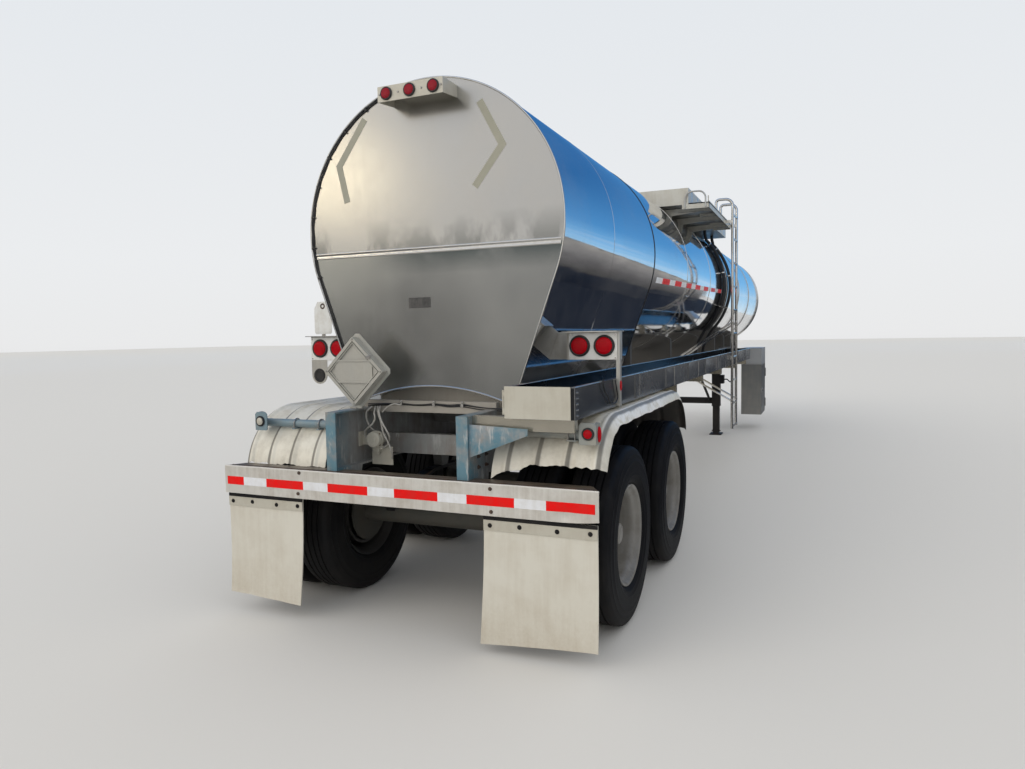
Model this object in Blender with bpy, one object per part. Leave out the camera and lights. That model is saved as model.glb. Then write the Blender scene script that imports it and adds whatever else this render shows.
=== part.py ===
"""A tanker semi-trailer: an insulated stainless tank on a steel frame, two axles with twin wheels,
landing legs, a coupler plate with its kingpin, a top platform with a manway, and a rear guard.

Metres. X is to the right, Y is forward, Z is up from the ground. The origin is on the ground,
midway between the rear guard's face and the tip of the front head.
"""
import math

import bmesh
import bpy
from mathutils import Vector

# Overall sizes. Distances along the trailer are counted forward from the rear guard's face.
LENGTH = 13.10
GUARD_HALF_WIDTH = 1.219
SEAT = 0.0003            # between two pieces that rest on each other
REAR = -LENGTH / 2

# Tank and its jacket
TANK_RADIUS = 0.885
TANK_BOTTOM = 1.505      # height of the tank's lowest line, which the saddles carry
TANK_Z = TANK_BOTTOM + TANK_RADIUS
TANK_TOP = TANK_Z + TANK_RADIUS
TANK_STEP = 7.5          # degrees between the points of the round section
HEAD_AT = 0.500          # rear face of the rear head
HEAD_SHEET = 0.006
SKIRT_END = 2.840        # the section with the skirt ends here, in a sealed seam
SEAM = 0.006
NOSE_DEPTH = 0.220       # bulge of the front head
SKIRT_ANGLE = 20.0       # the skirt leaves the round section at this angle below the centre line
SKIRT_CORNER_Z = 1.300
SKIRT_CROWN_Z = 1.410    # the skirt's bottom edge rises to this at the middle
TRIM_DROP = 0.140        # of the band across the rear head, below the centre line
TRIM_HEIGHT = 0.030
TRIM_THICK = 0.003
TRIM_MARGIN = 0.029      # stops short of the wire along the edge
TRIM_Z = TANK_Z - TRIM_DROP
TRIM_REACH = math.sqrt(TANK_RADIUS ** 2 - TRIM_DROP ** 2) - TRIM_MARGIN
TAN_SKIRT = math.tan(math.radians(SKIRT_ANGLE))
SKIRT_LEAVES_X = TANK_RADIUS * math.cos(math.radians(SKIRT_ANGLE))
SKIRT_LEAVES_Z = TANK_Z - TANK_RADIUS * math.sin(math.radians(SKIRT_ANGLE))
SKIRT_CORNER_X = SKIRT_LEAVES_X - (SKIRT_LEAVES_Z - SKIRT_CORNER_Z) * TAN_SKIRT

# Frame
RAIL_OUTER = 0.470
RAIL_WIDTH = 0.070
RAIL_WALL = 0.010
RAIL_TOP = 1.280
RAIL_REAR = 0.050        # rear end of the rails
DEEP_RAIL_END = 4.000    # behind this the rails are deep, to carry the axles
MID_RAIL_DEPTH = 0.150
COUPLER_RAIL_FROM = 9.900
COUPLER_RAIL_TO = 12.700
COUPLER_TOP = 1.430

# Rear guard
GUARD_TOP = 0.934
GUARD_BOTTOM = 0.760
GUARD_WALL = 0.006
GUARD_DEPTH = 0.130
GUARD_LIP = 0.004        # the rear sheet stands this far over the deck

# Axles and wheels
AXLES = (("rear", 0.724), ("front", 2.033))   # name, distance from the rear guard
TYRE_RADIUS = 0.526
OUTER_TYRE_X = 1.075
INNER_TYRE_X = 0.740
WHEEL_STEPS = 20
TYRE_HALF_WIDTH = 0.1395
RIM_HALF_WIDTH = 0.117
RIM_SEAT_HALF_WIDTH = 0.105
RIM_FLANGE_RADIUS = 0.2985
RIM_SEAT_RADIUS = 0.2857
BEAM_RADIUS = 0.0635
BEAM_STEPS = 16
SPINDLE_RADIUS = 0.045
SPINDLE_END = 1.050
HUB_CLEARANCE = 0.002
HUB_INNER_X = 0.8505       # the hub runs against the spindle's collar here
COLLAR_RADIUS = 0.060
SHIELD_X = 0.640
DRUM_EDGE_X = 0.668

# Springs
SPRING_X = (0.402, 0.468)
SPRING_REACH = 0.500     # from an axle to the eye on its hanger
SPRING_EYE_RISE = 0.209  # of the eyes above the axles
SPRING_EYE_Z = TYRE_RADIUS + SPRING_EYE_RISE
SPRING_THICK = 0.030
SPRING_SAG = 0.055
HANGER_HALF = 0.045

# Fenders
FENDER_X = (0.560, 1.200)
FENDER_RADIUS = 0.420
FENDER_CENTRE = (0.560, 0.840)   # of the rear bend: distance from the rear guard, height
FENDER_EDGE_Z = 0.930
FENDER_SHEET = 0.004
FENDER_RIBS = 4
RIB_HEIGHT = 0.012
RIB_WIDTH = 0.030
ARM_RADIUS = 0.025
ARM_Z = 1.180
ARM_END_X = 1.160
TAB_WIDTH = 0.090         # of the plate at the arm's end

# Mud flaps
FLAP_X = ((0.570, 1.206, "right"), (-1.214, -0.640, "left"))
FLAP_BOTTOM = 0.095
FLAP_THICK = 0.008
FLAP_Y = 0.0263
BAR_HEIGHT = 0.055
BAR_THICK = 0.006

# Hose tray
TRAY_Y = (0.030, 9.000)
TRAY_TOP = 1.450
TRAY_GAP = 0.1004        # from the skirt's side to the tray's inner lip
TRAY_WIDTH = 0.390
TRAY_INNER = SKIRT_CORNER_X + (TRAY_TOP - SKIRT_CORNER_Z) * TAN_SKIRT + TRAY_GAP
TRAY_X = (TRAY_INNER, TRAY_INNER + TRAY_WIDTH)
TRAY_WALL = 0.004
TRAY_LIP = 0.020
TRAY_ARMS = (0.110, 2.850, 4.300, 5.750, 7.300, 8.650)

# Lamps, placard and valve at the rear
ROOF_BAR_X = 0.220
ROOF_BAR_Z = (TANK_TOP - 0.165, TANK_TOP - 0.075)
ROOF_BAR_Y = 0.320
LAMP_BOX_X = (TRAY_X[1] - 0.307, TRAY_X[1] + 0.010)
LAMP_BOX_Z = (1.560, 1.730)
LEFT_BOX_OUT = 0.064     # the left box sits further out than the right one
TONGUE = (0.066, 0.170)  # half width and length of the plate that hangs below the left box
LAMP_BOX_Y = (0.810, 0.920)
TAIL_LAMP_RADIUS = 0.066
TAIL_LAMP_SPACING = 0.155
PLACARD = (-0.400, 0.250, 1.512)         # X, distance from the rear guard, height of its centre
PLACARD_SIDE = 0.300
PLACARD_DEPTH = 0.050
PLACARD_FLANGE = 0.018
VALVE = (-0.345, 0.390, 1.080)
HEAD_WIRE_RADIUS = 0.006

# Landing legs and coupler
LEG_AT = 9.160
LEG_TUBE = 0.130
LEG_INNER_TUBE = 0.105
LEG_SLEEVE_Z = 0.480
FOOT_SIZE = 0.250
FOOT_THICK = 0.020
COUPLER_PLATE_Z = 1.200
COUPLER_PLATE_THICK = 0.012
KINGPIN_SETBACK = 0.914  # behind the barrel's front edge
PLATE_REACH = 0.550      # of the coupler plate behind the kingpin
KINGPIN_LENGTH = 0.084
KINGPIN_RADIUS = 0.0254
KINGPIN_COLLAR = 0.0355

# Ladder and top platform
LADDER_X = TRAY_X[1] + 0.028
LADDER_Y = (6.350, 6.780)
LADDER_RADIUS = 0.0175
LADDER_FOOT_Z = 0.460
DECK_Z = TANK_TOP - 0.125
LADDER_TOP_Z = DECK_Z + 0.180
RUNG_RADIUS = 0.0125
RUNG_PITCH = 0.305
BRACE_RADIUS = 0.0125
BRACE_X = RAIL_OUTER - 0.020    # where the upper braces stand on the rail
BRACE_RISE = 0.393       # from the tray's top to the upper braces' end on the ladder
BRACE_DROP = 0.460       # from the rail's top to the lower braces' end on the ladder
DECK_THICK = 0.012
DAM_X = 0.800
DAM_Y = (4.960, 8.200)
DAM_TOP = DECK_Z + 0.185
DAM_WALL = 0.004
WALK_X = LADDER_X - 0.088
WALK_Y = (4.950, 6.900)
LOOP_X = (WALK_X - 0.270, WALK_X - 0.035)   # hand loop on the platform's rear edge
LOOP_TOP_Z = DECK_Z + 0.150
LOOP_RADIUS = 0.012
MANWAY_Y = 6.050
MANWAY_RADIUS = 0.270
MANWAY_TOP = TANK_TOP + 0.090
LID_HINGE_X = -MANWAY_RADIUS - 0.075
LID_HINGE_Z = MANWAY_TOP + 0.020
LID_PIN_RADIUS = 0.008
LID_LUG = 0.036
DRAIN_HOSES = (("rear", 7.180), ("front", 7.850))
HOSE_RADIUS = 0.028
HOSE_STANDS_OFF = 0.001    # from the jacket

# Locker at the front right
LOCKER_X = (0.860, 1.195)
LOCKER_Y = (9.900, 10.700)
LOCKER_Z = (0.270, 1.430)
LOCKER_WALL = 0.020
DOOR_Z = (0.310, 1.100)
GROOVE_Z = (DOOR_Z[1] + 0.035, DOOR_Z[1] + 0.055)
DOOR_MARGIN = 0.040
DOOR_THICK = 0.018
DOOR_CLEARANCE = 0.005
KNUCKLE_RADIUS = 0.008

# Belly outlet and air reservoir
OUTLET_AT = 6.900
OUTLET_Z = 1.330
RESERVOIR_AT = 3.150
RESERVOIR_RADIUS = 0.115
RESERVOIR_HALF = 0.310


def fore(distance):
    """Y of a place given by its distance forward of the rear guard's face."""
    return REAR + distance


BARREL_FRONT = LENGTH - NOSE_DEPTH
GUARD_DECK = GUARD_TOP - GUARD_LIP
RAIL_BOTTOM = GUARD_DECK + SEAT
COUPLER_RAIL_BOTTOM = COUPLER_PLATE_Z + COUPLER_PLATE_THICK + SEAT


# Materials

def material(name, colour, roughness, metallic):
    made = bpy.data.materials.new(name)
    made.use_nodes = True
    shader = made.node_tree.nodes["Principled BSDF"]
    shader.inputs["Base Color"].default_value = (*colour, 1.0)
    shader.inputs["Roughness"].default_value = roughness
    shader.inputs["Metallic"].default_value = metallic
    made.diffuse_color = (*colour, 1.0)
    return made


FINISHES = {   # name: colour, roughness, metallic
    "mirror_stainless": ((0.78, 0.78, 0.79), 0.06, 1.0),
    "brushed_stainless": ((0.62, 0.60, 0.57), 0.30, 1.0),
    "galvanised": ((0.44, 0.50, 0.53), 0.50, 0.8),
    "dull_aluminium": ((0.63, 0.61, 0.56), 0.50, 0.7),
    "black_steel": ((0.05, 0.05, 0.055), 0.55, 0.3),
    "white_rim": ((0.72, 0.71, 0.68), 0.45, 0.0),
    "tyre_rubber": ((0.03, 0.03, 0.033), 0.85, 0.0),
    "flap_white": ((0.66, 0.64, 0.58), 0.60, 0.0),
    "black_rubber": ((0.02, 0.02, 0.02), 0.60, 0.0),
    "red_lens": ((0.60, 0.02, 0.03), 0.20, 0.0),
    "placard_aluminium": ((0.60, 0.60, 0.60), 0.40, 0.9),
    "grey_panel": ((0.42, 0.43, 0.44), 0.50, 0.4),
}


# Shapes

def bounded(bm):
    """The bmesh with doubles merged and faces turned outwards."""
    bmesh.ops.remove_doubles(bm, verts=bm.verts, dist=1e-6)
    bmesh.ops.recalc_face_normals(bm, faces=bm.faces)
    return bm


def prism(outline, axis, low, high):
    """A closed outline extruded along an axis. Its points are (y, z), (x, z) or (x, y)."""
    bm = bmesh.new()
    place = {
        "X": lambda a, b: (low, a, b),
        "Y": lambda a, b: (a, low, b),
        "Z": lambda a, b: (a, b, low),
    }[axis]
    face = bm.faces.new([bm.verts.new(place(a, b)) for a, b in outline])
    grown = bmesh.ops.extrude_face_region(bm, geom=[face])
    moved = [item for item in grown["geom"] if isinstance(item, bmesh.types.BMVert)]
    step = {"X": (high - low, 0, 0), "Y": (0, high - low, 0), "Z": (0, 0, high - low)}[axis]
    bmesh.ops.translate(bm, verts=moved, vec=step)
    return bounded(bm)


def box(x, y, z):
    """A block between (low, high) pairs."""
    return prism([(x[0], z[0]), (x[1], z[0]), (x[1], z[1]), (x[0], z[1])], "Y", y[0], y[1])


def turned(profile, axis, centre, steps):
    """A turned solid. The profile is (along, radius) points, a closed loop or ending on the axis."""
    bm = bmesh.new()
    along = Vector({"X": (1, 0, 0), "Y": (0, 1, 0), "Z": (0, 0, 1)}[axis])
    start = Vector((0, 0, -1)) if axis != "Z" else Vector((0, -1, 0))
    ring = [bm.verts.new(Vector(centre) + along * a + start * r) for a, r in profile]
    edges = [bm.edges.new(pair) for pair in zip(ring, ring[1:])]
    if profile[0][1] > 0:
        edges.append(bm.edges.new((ring[-1], ring[0])))
    bmesh.ops.spin(bm, geom=ring + edges, cent=centre, axis=along, angle=2 * math.pi,
                   steps=steps, use_merge=True)
    return bounded(bm)


def rod(axis, centre, radius, low, high, steps=12):
    """A round bar along an axis, from low to high beside its centre."""
    return turned([(low, 0), (low, radius), (high, radius), (high, 0)], axis, centre, steps)


def tube(points, radius, resolution=1):
    """A round bar along a path, with closed ends."""
    curve = bpy.data.curves.new("path", "CURVE")
    curve.dimensions = "3D"
    curve.bevel_depth = radius
    curve.bevel_resolution = resolution
    curve.use_fill_caps = True
    spline = curve.splines.new("POLY")
    spline.points.add(len(points) - 1)
    for point, place in zip(spline.points, points):
        point.co = (*place, 1.0)
    guide = bpy.data.objects.new("path", curve)
    mesh = bpy.data.meshes.new_from_object(guide)
    bm = bmesh.new()
    bm.from_mesh(mesh)
    bpy.data.objects.remove(guide)
    return bounded(bm)


def arc(centre, radius, start, end, steps):
    """Points of an arc, in degrees."""
    angles = [math.radians(start + (end - start) * i / steps) for i in range(steps + 1)]
    return [(centre[0] + radius * math.cos(a), centre[1] + radius * math.sin(a)) for a in angles]


def round_section(radius, start, end):
    """Points of the tank's round section between two angles, on the same steps as the tank."""
    first = math.floor(start / TANK_STEP) + 1
    last = math.ceil(end / TANK_STEP) - 1
    angles = [start, *(i * TANK_STEP for i in range(first, last + 1)), end]
    return [(radius * math.cos(math.radians(a)), TANK_Z + radius * math.sin(math.radians(a)))
            for a in angles]


def swept(section, path):
    """A section, (x, outward) points, carried along a path of (y, z, normal y, normal z)."""
    bm = bmesh.new()
    rings = [[bm.verts.new((x, y + out * ny, z + out * nz)) for x, out in section]
             for y, z, ny, nz in path]
    count = len(section)
    for one, two in zip(rings, rings[1:]):
        for i in range(count):
            j = (i + 1) % count
            bm.faces.new((one[i], one[j], two[j], two[i]))
    bm.faces.new(rings[0])
    bm.faces.new(rings[-1])
    return bounded(bm)


def mirrored(bm):
    """The same shape on the left side."""
    bmesh.ops.scale(bm, vec=(-1, 1, 1), verts=bm.verts)
    return bounded(bm)


def sided(shapes, side):
    """Shapes made for the right side, turned over for the left."""
    return shapes if side > 0 else [mirrored(shape) for shape in shapes]


# Objects

def place(name, bm, finish):
    mesh = bpy.data.meshes.new(name)
    bm.to_mesh(mesh)
    bm.free()
    mesh.materials.append(MATERIALS[finish])
    mesh.shade_smooth()
    mesh.set_sharp_from_angle(angle=math.radians(32))
    made = bpy.data.objects.new(name, mesh)
    bpy.context.scene.collection.objects.link(made)
    return made


def evaluated(made, name, finish):
    """A plain object with the mesh that another one's modifiers give."""
    graph = bpy.context.evaluated_depsgraph_get()
    bm = bmesh.new()
    bm.from_mesh(bpy.data.meshes.new_from_object(made.evaluated_get(graph)))
    return place(name, bounded(bm), finish)


def combined(name, shapes, finish, operation):
    """One solid from the first shape and the others, joined to it or cut from it."""
    pieces = [place(f"{name}.piece", shape, finish) for shape in shapes]
    for piece in pieces[1:]:
        change = pieces[0].modifiers.new("combine", "BOOLEAN")
        change.operation = operation
        change.object = piece
    made = evaluated(pieces[0], f"{name}.whole", finish)
    for piece in pieces:
        bpy.data.objects.remove(piece)
    made.name = name
    return made


def joined(name, shapes, finish):
    return combined(name, shapes, finish, "UNION")


def cut(made, shapes, finish):
    """The object with shapes taken out of it."""
    bm = bmesh.new()
    bm.from_mesh(made.data)
    name = made.name
    bpy.data.objects.remove(made)
    return combined(name, [bm, *shapes], finish, "DIFFERENCE")


# Tank

def skirt_outline():
    """The rear section: round above, two straight sides below, and an arched bottom edge."""
    upper = round_section(TANK_RADIUS, -SKIRT_ANGLE, 180 + SKIRT_ANGLE)
    rise = SKIRT_CROWN_Z - SKIRT_CORNER_Z
    arch = (SKIRT_CORNER_X ** 2 + rise ** 2) / (2 * rise)
    half = math.degrees(math.asin(SKIRT_CORNER_X / arch))
    return upper + arc((0, SKIRT_CROWN_Z - arch), arch, 90 + half, 90 - half, 10)


def tank():
    outline = skirt_outline()
    face = fore(HEAD_AT)
    trim = box((-TRIM_REACH, TRIM_REACH), (face - TRIM_THICK, face + HEAD_SHEET / 2),
               (TRIM_Z - TRIM_HEIGHT / 2, TRIM_Z + TRIM_HEIGHT / 2))
    joined("rear_head", [prism(outline, "Y", face, face + HEAD_SHEET), trim], "brushed_stainless")
    place("skirt_jacket", prism(outline, "Y", fore(HEAD_AT + HEAD_SHEET) + SEAT, fore(SKIRT_END)),
          "mirror_stainless")
    nose = [(fore(BARREL_FRONT) + NOSE_DEPTH * math.sin(math.radians(a)),
             TANK_RADIUS * math.cos(math.radians(a))) for a in range(0, 90, 15)]
    start = fore(SKIRT_END + SEAM)
    profile = [(start, 0), (start, TANK_RADIUS), *nose, (fore(LENGTH), 0)]
    steps = round(360 / TANK_STEP)
    place("tank_jacket", turned(profile, "Y", (0, 0, TANK_Z), steps), "mirror_stainless")


# Frame

def channel(bottom, top, side):
    """Section of a rail with its web outboard, as (x, z) points."""
    inner = RAIL_OUTER - RAIL_WIDTH
    web = RAIL_OUTER - RAIL_WALL
    points = [(RAIL_OUTER, bottom), (RAIL_OUTER, top), (inner, top), (inner, top - RAIL_WALL),
              (web, top - RAIL_WALL), (web, bottom + RAIL_WALL), (inner, bottom + RAIL_WALL),
              (inner, bottom)]
    return [(side * x, z) for x, z in points]


CROSSMEMBERS = (   # from, to along the trailer; bottom, top
    (0.440, 0.490, 1.250, 1.322),
    (0.640, 0.700, 0.956, 1.087),
    (1.330, 1.430, 1.080, 1.200),
    (2.520, 2.620, 1.080, 1.200),
    (3.120, 3.180, 1.196, 1.270),
    (3.900, 3.980, 1.150, 1.270),
    (5.700, 5.780, 1.150, 1.270),
    (7.500, 7.580, 1.150, 1.270),
    (9.120, 9.200, 1.150, 1.270),
    (10.000, 10.080, 1.230, 1.400),
    (11.100, 11.180, 1.230, 1.400),
    (12.620, 12.700, 1.230, 1.400),
)

SKIRT_SADDLES = (0.640, 1.700, 2.740)
ROUND_SADDLES = (3.600, 5.600, 7.640, 9.400)
COUPLER_SADDLES = (10.600, 11.600, 12.560)
SADDLE_THICK = 0.060


def skirt_saddle(at):
    """A bolster between the rails and the skirt's arched edge."""
    rise = SKIRT_CROWN_Z - SKIRT_CORNER_Z
    arch = (SKIRT_CORNER_X ** 2 + rise ** 2) / (2 * rise)
    half = math.degrees(math.asin(RAIL_OUTER / arch))
    top = arc((0, SKIRT_CROWN_Z - arch), arch - 4 * SEAT, 90 + half, 90 - half, 8)
    base = RAIL_TOP - RAIL_WALL / 2
    outline = [(RAIL_OUTER, base), (-RAIL_OUTER, base), *top]
    return prism(outline, "Y", fore(at), fore(at + SADDLE_THICK))


def round_saddle(at, base):
    """A cradle between the rails and the round section."""
    half = math.degrees(math.asin(RAIL_OUTER / TANK_RADIUS))
    top = round_section(TANK_RADIUS + SEAT, -90 - half, -90 + half)
    outline = [(RAIL_OUTER, base), (-RAIL_OUTER, base), *top]
    return prism(outline, "Y", fore(at), fore(at + SADDLE_THICK))


def nose_box():
    """Air and light connectors on the frame's front crossmember."""
    y = fore(COUPLER_RAIL_TO)
    middle = COUPLER_TOP - 0.100
    shapes = [box((-0.200, 0.200), (y - 0.004, y + 0.006), (middle - 0.070, middle + 0.070)),
              box((-0.050, 0.050), (y + 0.005, y + 0.070), (middle - 0.040, middle + 0.040))]
    for x in (-0.130, 0.130):
        shapes.append(rod("Y", (x, y, middle), 0.028, 0.004, 0.060))
    return shapes


def frame():
    shapes = []
    for side in (-1, 1):
        deep = channel(RAIL_BOTTOM, RAIL_TOP, side)
        shapes.append(prism(deep, "Y", fore(RAIL_REAR), fore(DEEP_RAIL_END)))
        middle = channel(RAIL_TOP - MID_RAIL_DEPTH, RAIL_TOP, side)
        shapes.append(prism(middle, "Y", fore(DEEP_RAIL_END - 0.1), fore(COUPLER_RAIL_FROM + 0.4)))
        front = channel(COUPLER_RAIL_BOTTOM, COUPLER_TOP, side)
        shapes.append(prism(front, "Y", fore(COUPLER_RAIL_FROM), fore(COUPLER_RAIL_TO)))
        edge = sorted((side * (RAIL_OUTER - RAIL_WIDTH), side * RAIL_OUTER))
        ends = ((RAIL_REAR, RAIL_REAR + RAIL_WALL, RAIL_BOTTOM, RAIL_TOP),
                (COUPLER_RAIL_FROM, COUPLER_RAIL_FROM + RAIL_WALL, RAIL_TOP - 0.05, COUPLER_TOP))
        for low, high, bottom, top in ends:
            shapes.append(box(edge, (fore(low), fore(high)), (bottom, top)))
    inside = RAIL_OUTER - RAIL_WALL / 2
    for low, high, bottom, top in CROSSMEMBERS:
        shapes.append(box((-inside, inside), (fore(low), fore(high)), (bottom, top)))
    shapes += [skirt_saddle(at) for at in SKIRT_SADDLES]
    shapes += [round_saddle(at, RAIL_TOP - RAIL_WALL / 2) for at in ROUND_SADDLES]
    shapes += [round_saddle(at, COUPLER_TOP - RAIL_WALL / 2) for at in COUPLER_SADDLES]
    crown = FENDER_CENTRE[1] + FENDER_RADIUS - SEAT
    for side in (-1, 1):
        for name, at in AXLES:
            shapes.append(box(sorted((side * inside, side * (FENDER_X[1] - 0.05))),
                              (fore(at), fore(at + 0.04)), (crown - 0.04, crown)))
    gusset = [(inside, 1.052), (inside, 1.236), (0.813, 1.222), (0.813, 1.187)]
    shapes.append(prism(gusset, "Y", fore(RAIL_REAR + 0.02), fore(RAIL_REAR + 0.028)))
    for at in (10.150, 10.450):
        shapes.append(box((inside, LOCKER_X[0] - SEAT), (fore(at), fore(at + 0.05)),
                          (RAIL_TOP - 0.05, RAIL_TOP + 0.03)))
    shapes += spring_hangers()
    shapes += nose_box()
    return joined("frame", shapes, "galvanised")


def hanger_places():
    """Distances from the rear guard of the rear, middle and front spring hangers."""
    rear, front = AXLES[0][1], AXLES[1][1]
    return rear - SPRING_REACH, (rear + front) / 2, front + SPRING_REACH


def spring_hangers():
    """Boxes under the rails that the springs' ends bear in."""
    shapes = []
    bottom = SPRING_EYE_Z + SPRING_THICK / 2 + SEAT
    for side in (-1, 1):
        low, high = sorted((side * (RAIL_OUTER - RAIL_WIDTH), side * RAIL_OUTER))
        for at in hanger_places():
            outline = [(fore(at - HANGER_HALF), bottom), (fore(at + HANGER_HALF), bottom),
                       (fore(at + 2 * HANGER_HALF), RAIL_BOTTOM + RAIL_WALL / 2),
                       (fore(at - 2 * HANGER_HALF), RAIL_BOTTOM + RAIL_WALL / 2)]
            shapes.append(prism(outline, "X", low, high))
    return shapes


# Springs

def spring_pack(at):
    """Outline of one leaf spring over an axle, with its seat on the beam, as (y, z) points."""
    reach = SPRING_REACH
    low, high = fore(at - reach), fore(at + reach)
    top, under = [], []
    steps = 8
    for i in range(steps + 1):
        share = 2 * i / steps - 1
        middle = SPRING_EYE_Z - SPRING_SAG * (1 - share * share)
        thick = SPRING_THICK * (2.2 - 1.2 * abs(share)) / 2
        y = low + (high - low) * i / steps
        top.append((y, middle + thick if abs(share) < 1 else SPRING_EYE_Z + SPRING_THICK / 2))
        under.append((y, middle - thick if abs(share) < 1 else SPRING_EYE_Z - SPRING_THICK / 2))
    return top + under[::-1]


def axle_seat(at):
    """Block between the beam and the spring, with a round bottom that fits the beam."""
    facet = 360 / BEAM_STEPS
    lower = arc((fore(at), TYRE_RADIUS), BEAM_RADIUS + SEAT, facet, 180 - facet,
                BEAM_STEPS // 2 - 2)
    top = SPRING_EYE_Z - SPRING_SAG
    return [*lower, (lower[-1][0], top), (lower[0][0], top)]


def springs():
    for side, name in ((1, "right"), (-1, "left")):
        shapes = []
        low, high = sorted((side * SPRING_X[0], side * SPRING_X[1]))
        for _, at in AXLES:
            shapes.append(prism(spring_pack(at), "X", low, high))
            shapes.append(prism(axle_seat(at), "X", low, high))
        rear, front = AXLES[0][1] + SPRING_REACH, AXLES[1][1] - SPRING_REACH
        bar = [(fore(rear - 0.05), SPRING_EYE_Z - 0.012), (fore(front + 0.05), SPRING_EYE_Z - 0.012),
               (fore(front + 0.05), SPRING_EYE_Z + 0.012), (fore(rear - 0.05), SPRING_EYE_Z + 0.012)]
        shapes.append(prism(bar, "X", low, high))
        joined(f"springs_{name}", shapes, "black_steel")


# Axles and wheels

def axle(name, at):
    """A round beam with its spindles, brake shields, air chambers and camshafts."""
    y = fore(at)
    collar = HUB_INNER_X - SEAT
    half = [(SPINDLE_END, 0), (SPINDLE_END, SPINDLE_RADIUS), (collar, SPINDLE_RADIUS),
            (collar, COLLAR_RADIUS), (collar - 0.025, COLLAR_RADIUS),
            (collar - 0.025, SPINDLE_RADIUS), (0.720, SPINDLE_RADIUS),
            (0.720, BEAM_RADIUS), (SHIELD_X + 0.012, BEAM_RADIUS), (SHIELD_X + 0.012, 0.198),
            (SHIELD_X, 0.198), (SHIELD_X, BEAM_RADIUS)]
    profile = half + [(-x, r) for x, r in half[::-1]]
    shapes = [turned(profile, "X", (0, y, TYRE_RADIUS), BEAM_STEPS)]
    for side in (-1, 1):
        ahead = y + 0.150
        centre = (side * 0.300, ahead, TYRE_RADIUS + 0.020)
        shapes.append(turned([(-0.060, 0), (-0.060, 0.050), (-0.030, 0.082), (0.030, 0.082),
                              (0.060, 0.050), (0.060, 0)], "X", centre, 10))
        shapes.append(rod("X", (0, y + 0.135, TYRE_RADIUS), 0.018,
                          *sorted((side * 0.300, side * (SHIELD_X - SEAT))), steps=6))
        shapes.append(box(sorted((side * 0.260, side * 0.330)), (y + 0.020, ahead),
                          (TYRE_RADIUS - 0.010, TYRE_RADIUS + 0.012)))
    return joined(f"axle_{name}", shapes, "black_steel")


def tyre_profile(centre):
    half = [(RIM_SEAT_HALF_WIDTH - SEAT, RIM_SEAT_RADIUS + SEAT),
            (RIM_SEAT_HALF_WIDTH - SEAT, RIM_FLANGE_RADIUS + 0.002),
            (TYRE_HALF_WIDTH - 0.012, 0.325), (TYRE_HALF_WIDTH, 0.395),
            (TYRE_HALF_WIDTH - 0.014, 0.495), (TYRE_HALF_WIDTH - 0.038, TYRE_RADIUS)]
    return [(centre + x, r) for x, r in half] + [(centre - x, r) for x, r in half[::-1]]


def rim_profile(centre):
    """Outer side of a rim, from its outboard flange to its inboard one."""
    edge, seat = RIM_HALF_WIDTH, RIM_SEAT_HALF_WIDTH
    half = [(edge, RIM_FLANGE_RADIUS), (seat, RIM_FLANGE_RADIUS), (seat, RIM_SEAT_RADIUS)]
    return [(centre + x, r) for x, r in half] + [(centre - x, r) for x, r in half[::-1]]


def wheel_profile():
    """Both rims back to back with the hub and the brake drum, as (x, radius) points."""
    bolted = (OUTER_TYRE_X + INNER_TYRE_X) / 2
    bore = SPINDLE_RADIUS + HUB_CLEARANCE
    hub = [(bolted + 0.233, 0), (bolted + 0.233, 0.060), (bolted + 0.163, 0.080),
           (bolted + 0.153, 0.115), (bolted + 0.018, 0.130), (bolted + 0.018, 0.210)]
    dish = [(bolted + 0.052, 0.250), (OUTER_TYRE_X + RIM_HALF_WIDTH - 0.027, 0.258)]
    inner_dish = [(INNER_TYRE_X - RIM_HALF_WIDTH + 0.027, 0.258), (bolted - 0.022, 0.245)]
    drum = [(bolted - 0.022, 0.222), (DRUM_EDGE_X, 0.222), (DRUM_EDGE_X, 0.205),
            (HUB_INNER_X, 0.205), (HUB_INNER_X, bore), (SPINDLE_END + 0.010, bore),
            (SPINDLE_END + 0.010, 0)]
    return (hub + dish + rim_profile(OUTER_TYRE_X) + [(bolted, 0.215)]
            + rim_profile(INNER_TYRE_X) + inner_dish + drum)


def wheels():
    for name, at in AXLES:
        for side, hand in ((1, "right"), (-1, "left")):
            centre = (0, fore(at), TYRE_RADIUS)
            shape = turned(wheel_profile(), "X", centre, WHEEL_STEPS)
            place(f"wheel_{name}_{hand}", sided([shape], side)[0], "white_rim")
            for which, x in (("outer", OUTER_TYRE_X), ("inner", INNER_TYRE_X)):
                shape = turned(tyre_profile(x), "X", centre, WHEEL_STEPS)
                place(f"tyre_{name}_{hand}_{which}", sided([shape], side)[0], "tyre_rubber")


# Rear guard and mud flaps

def guard():
    """A formed channel, open to the front, whose top flange is the deck that the rails stand on."""
    wall, top, bottom = GUARD_WALL, GUARD_DECK, GUARD_BOTTOM
    outline = [(0, bottom), (0, GUARD_TOP), (wall, GUARD_TOP), (wall, top), (GUARD_DEPTH, top),
               (GUARD_DEPTH, top - 0.030), (GUARD_DEPTH - wall, top - 0.030),
               (GUARD_DEPTH - wall, top - wall), (wall, top - wall), (wall, bottom + wall),
               (GUARD_DEPTH - 0.02, bottom + wall), (GUARD_DEPTH - 0.02, bottom)]
    outline = [(fore(y), z) for y, z in outline]
    place("rear_guard", prism(outline, "X", -GUARD_HALF_WIDTH, GUARD_HALF_WIDTH), "dull_aluminium")


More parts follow.
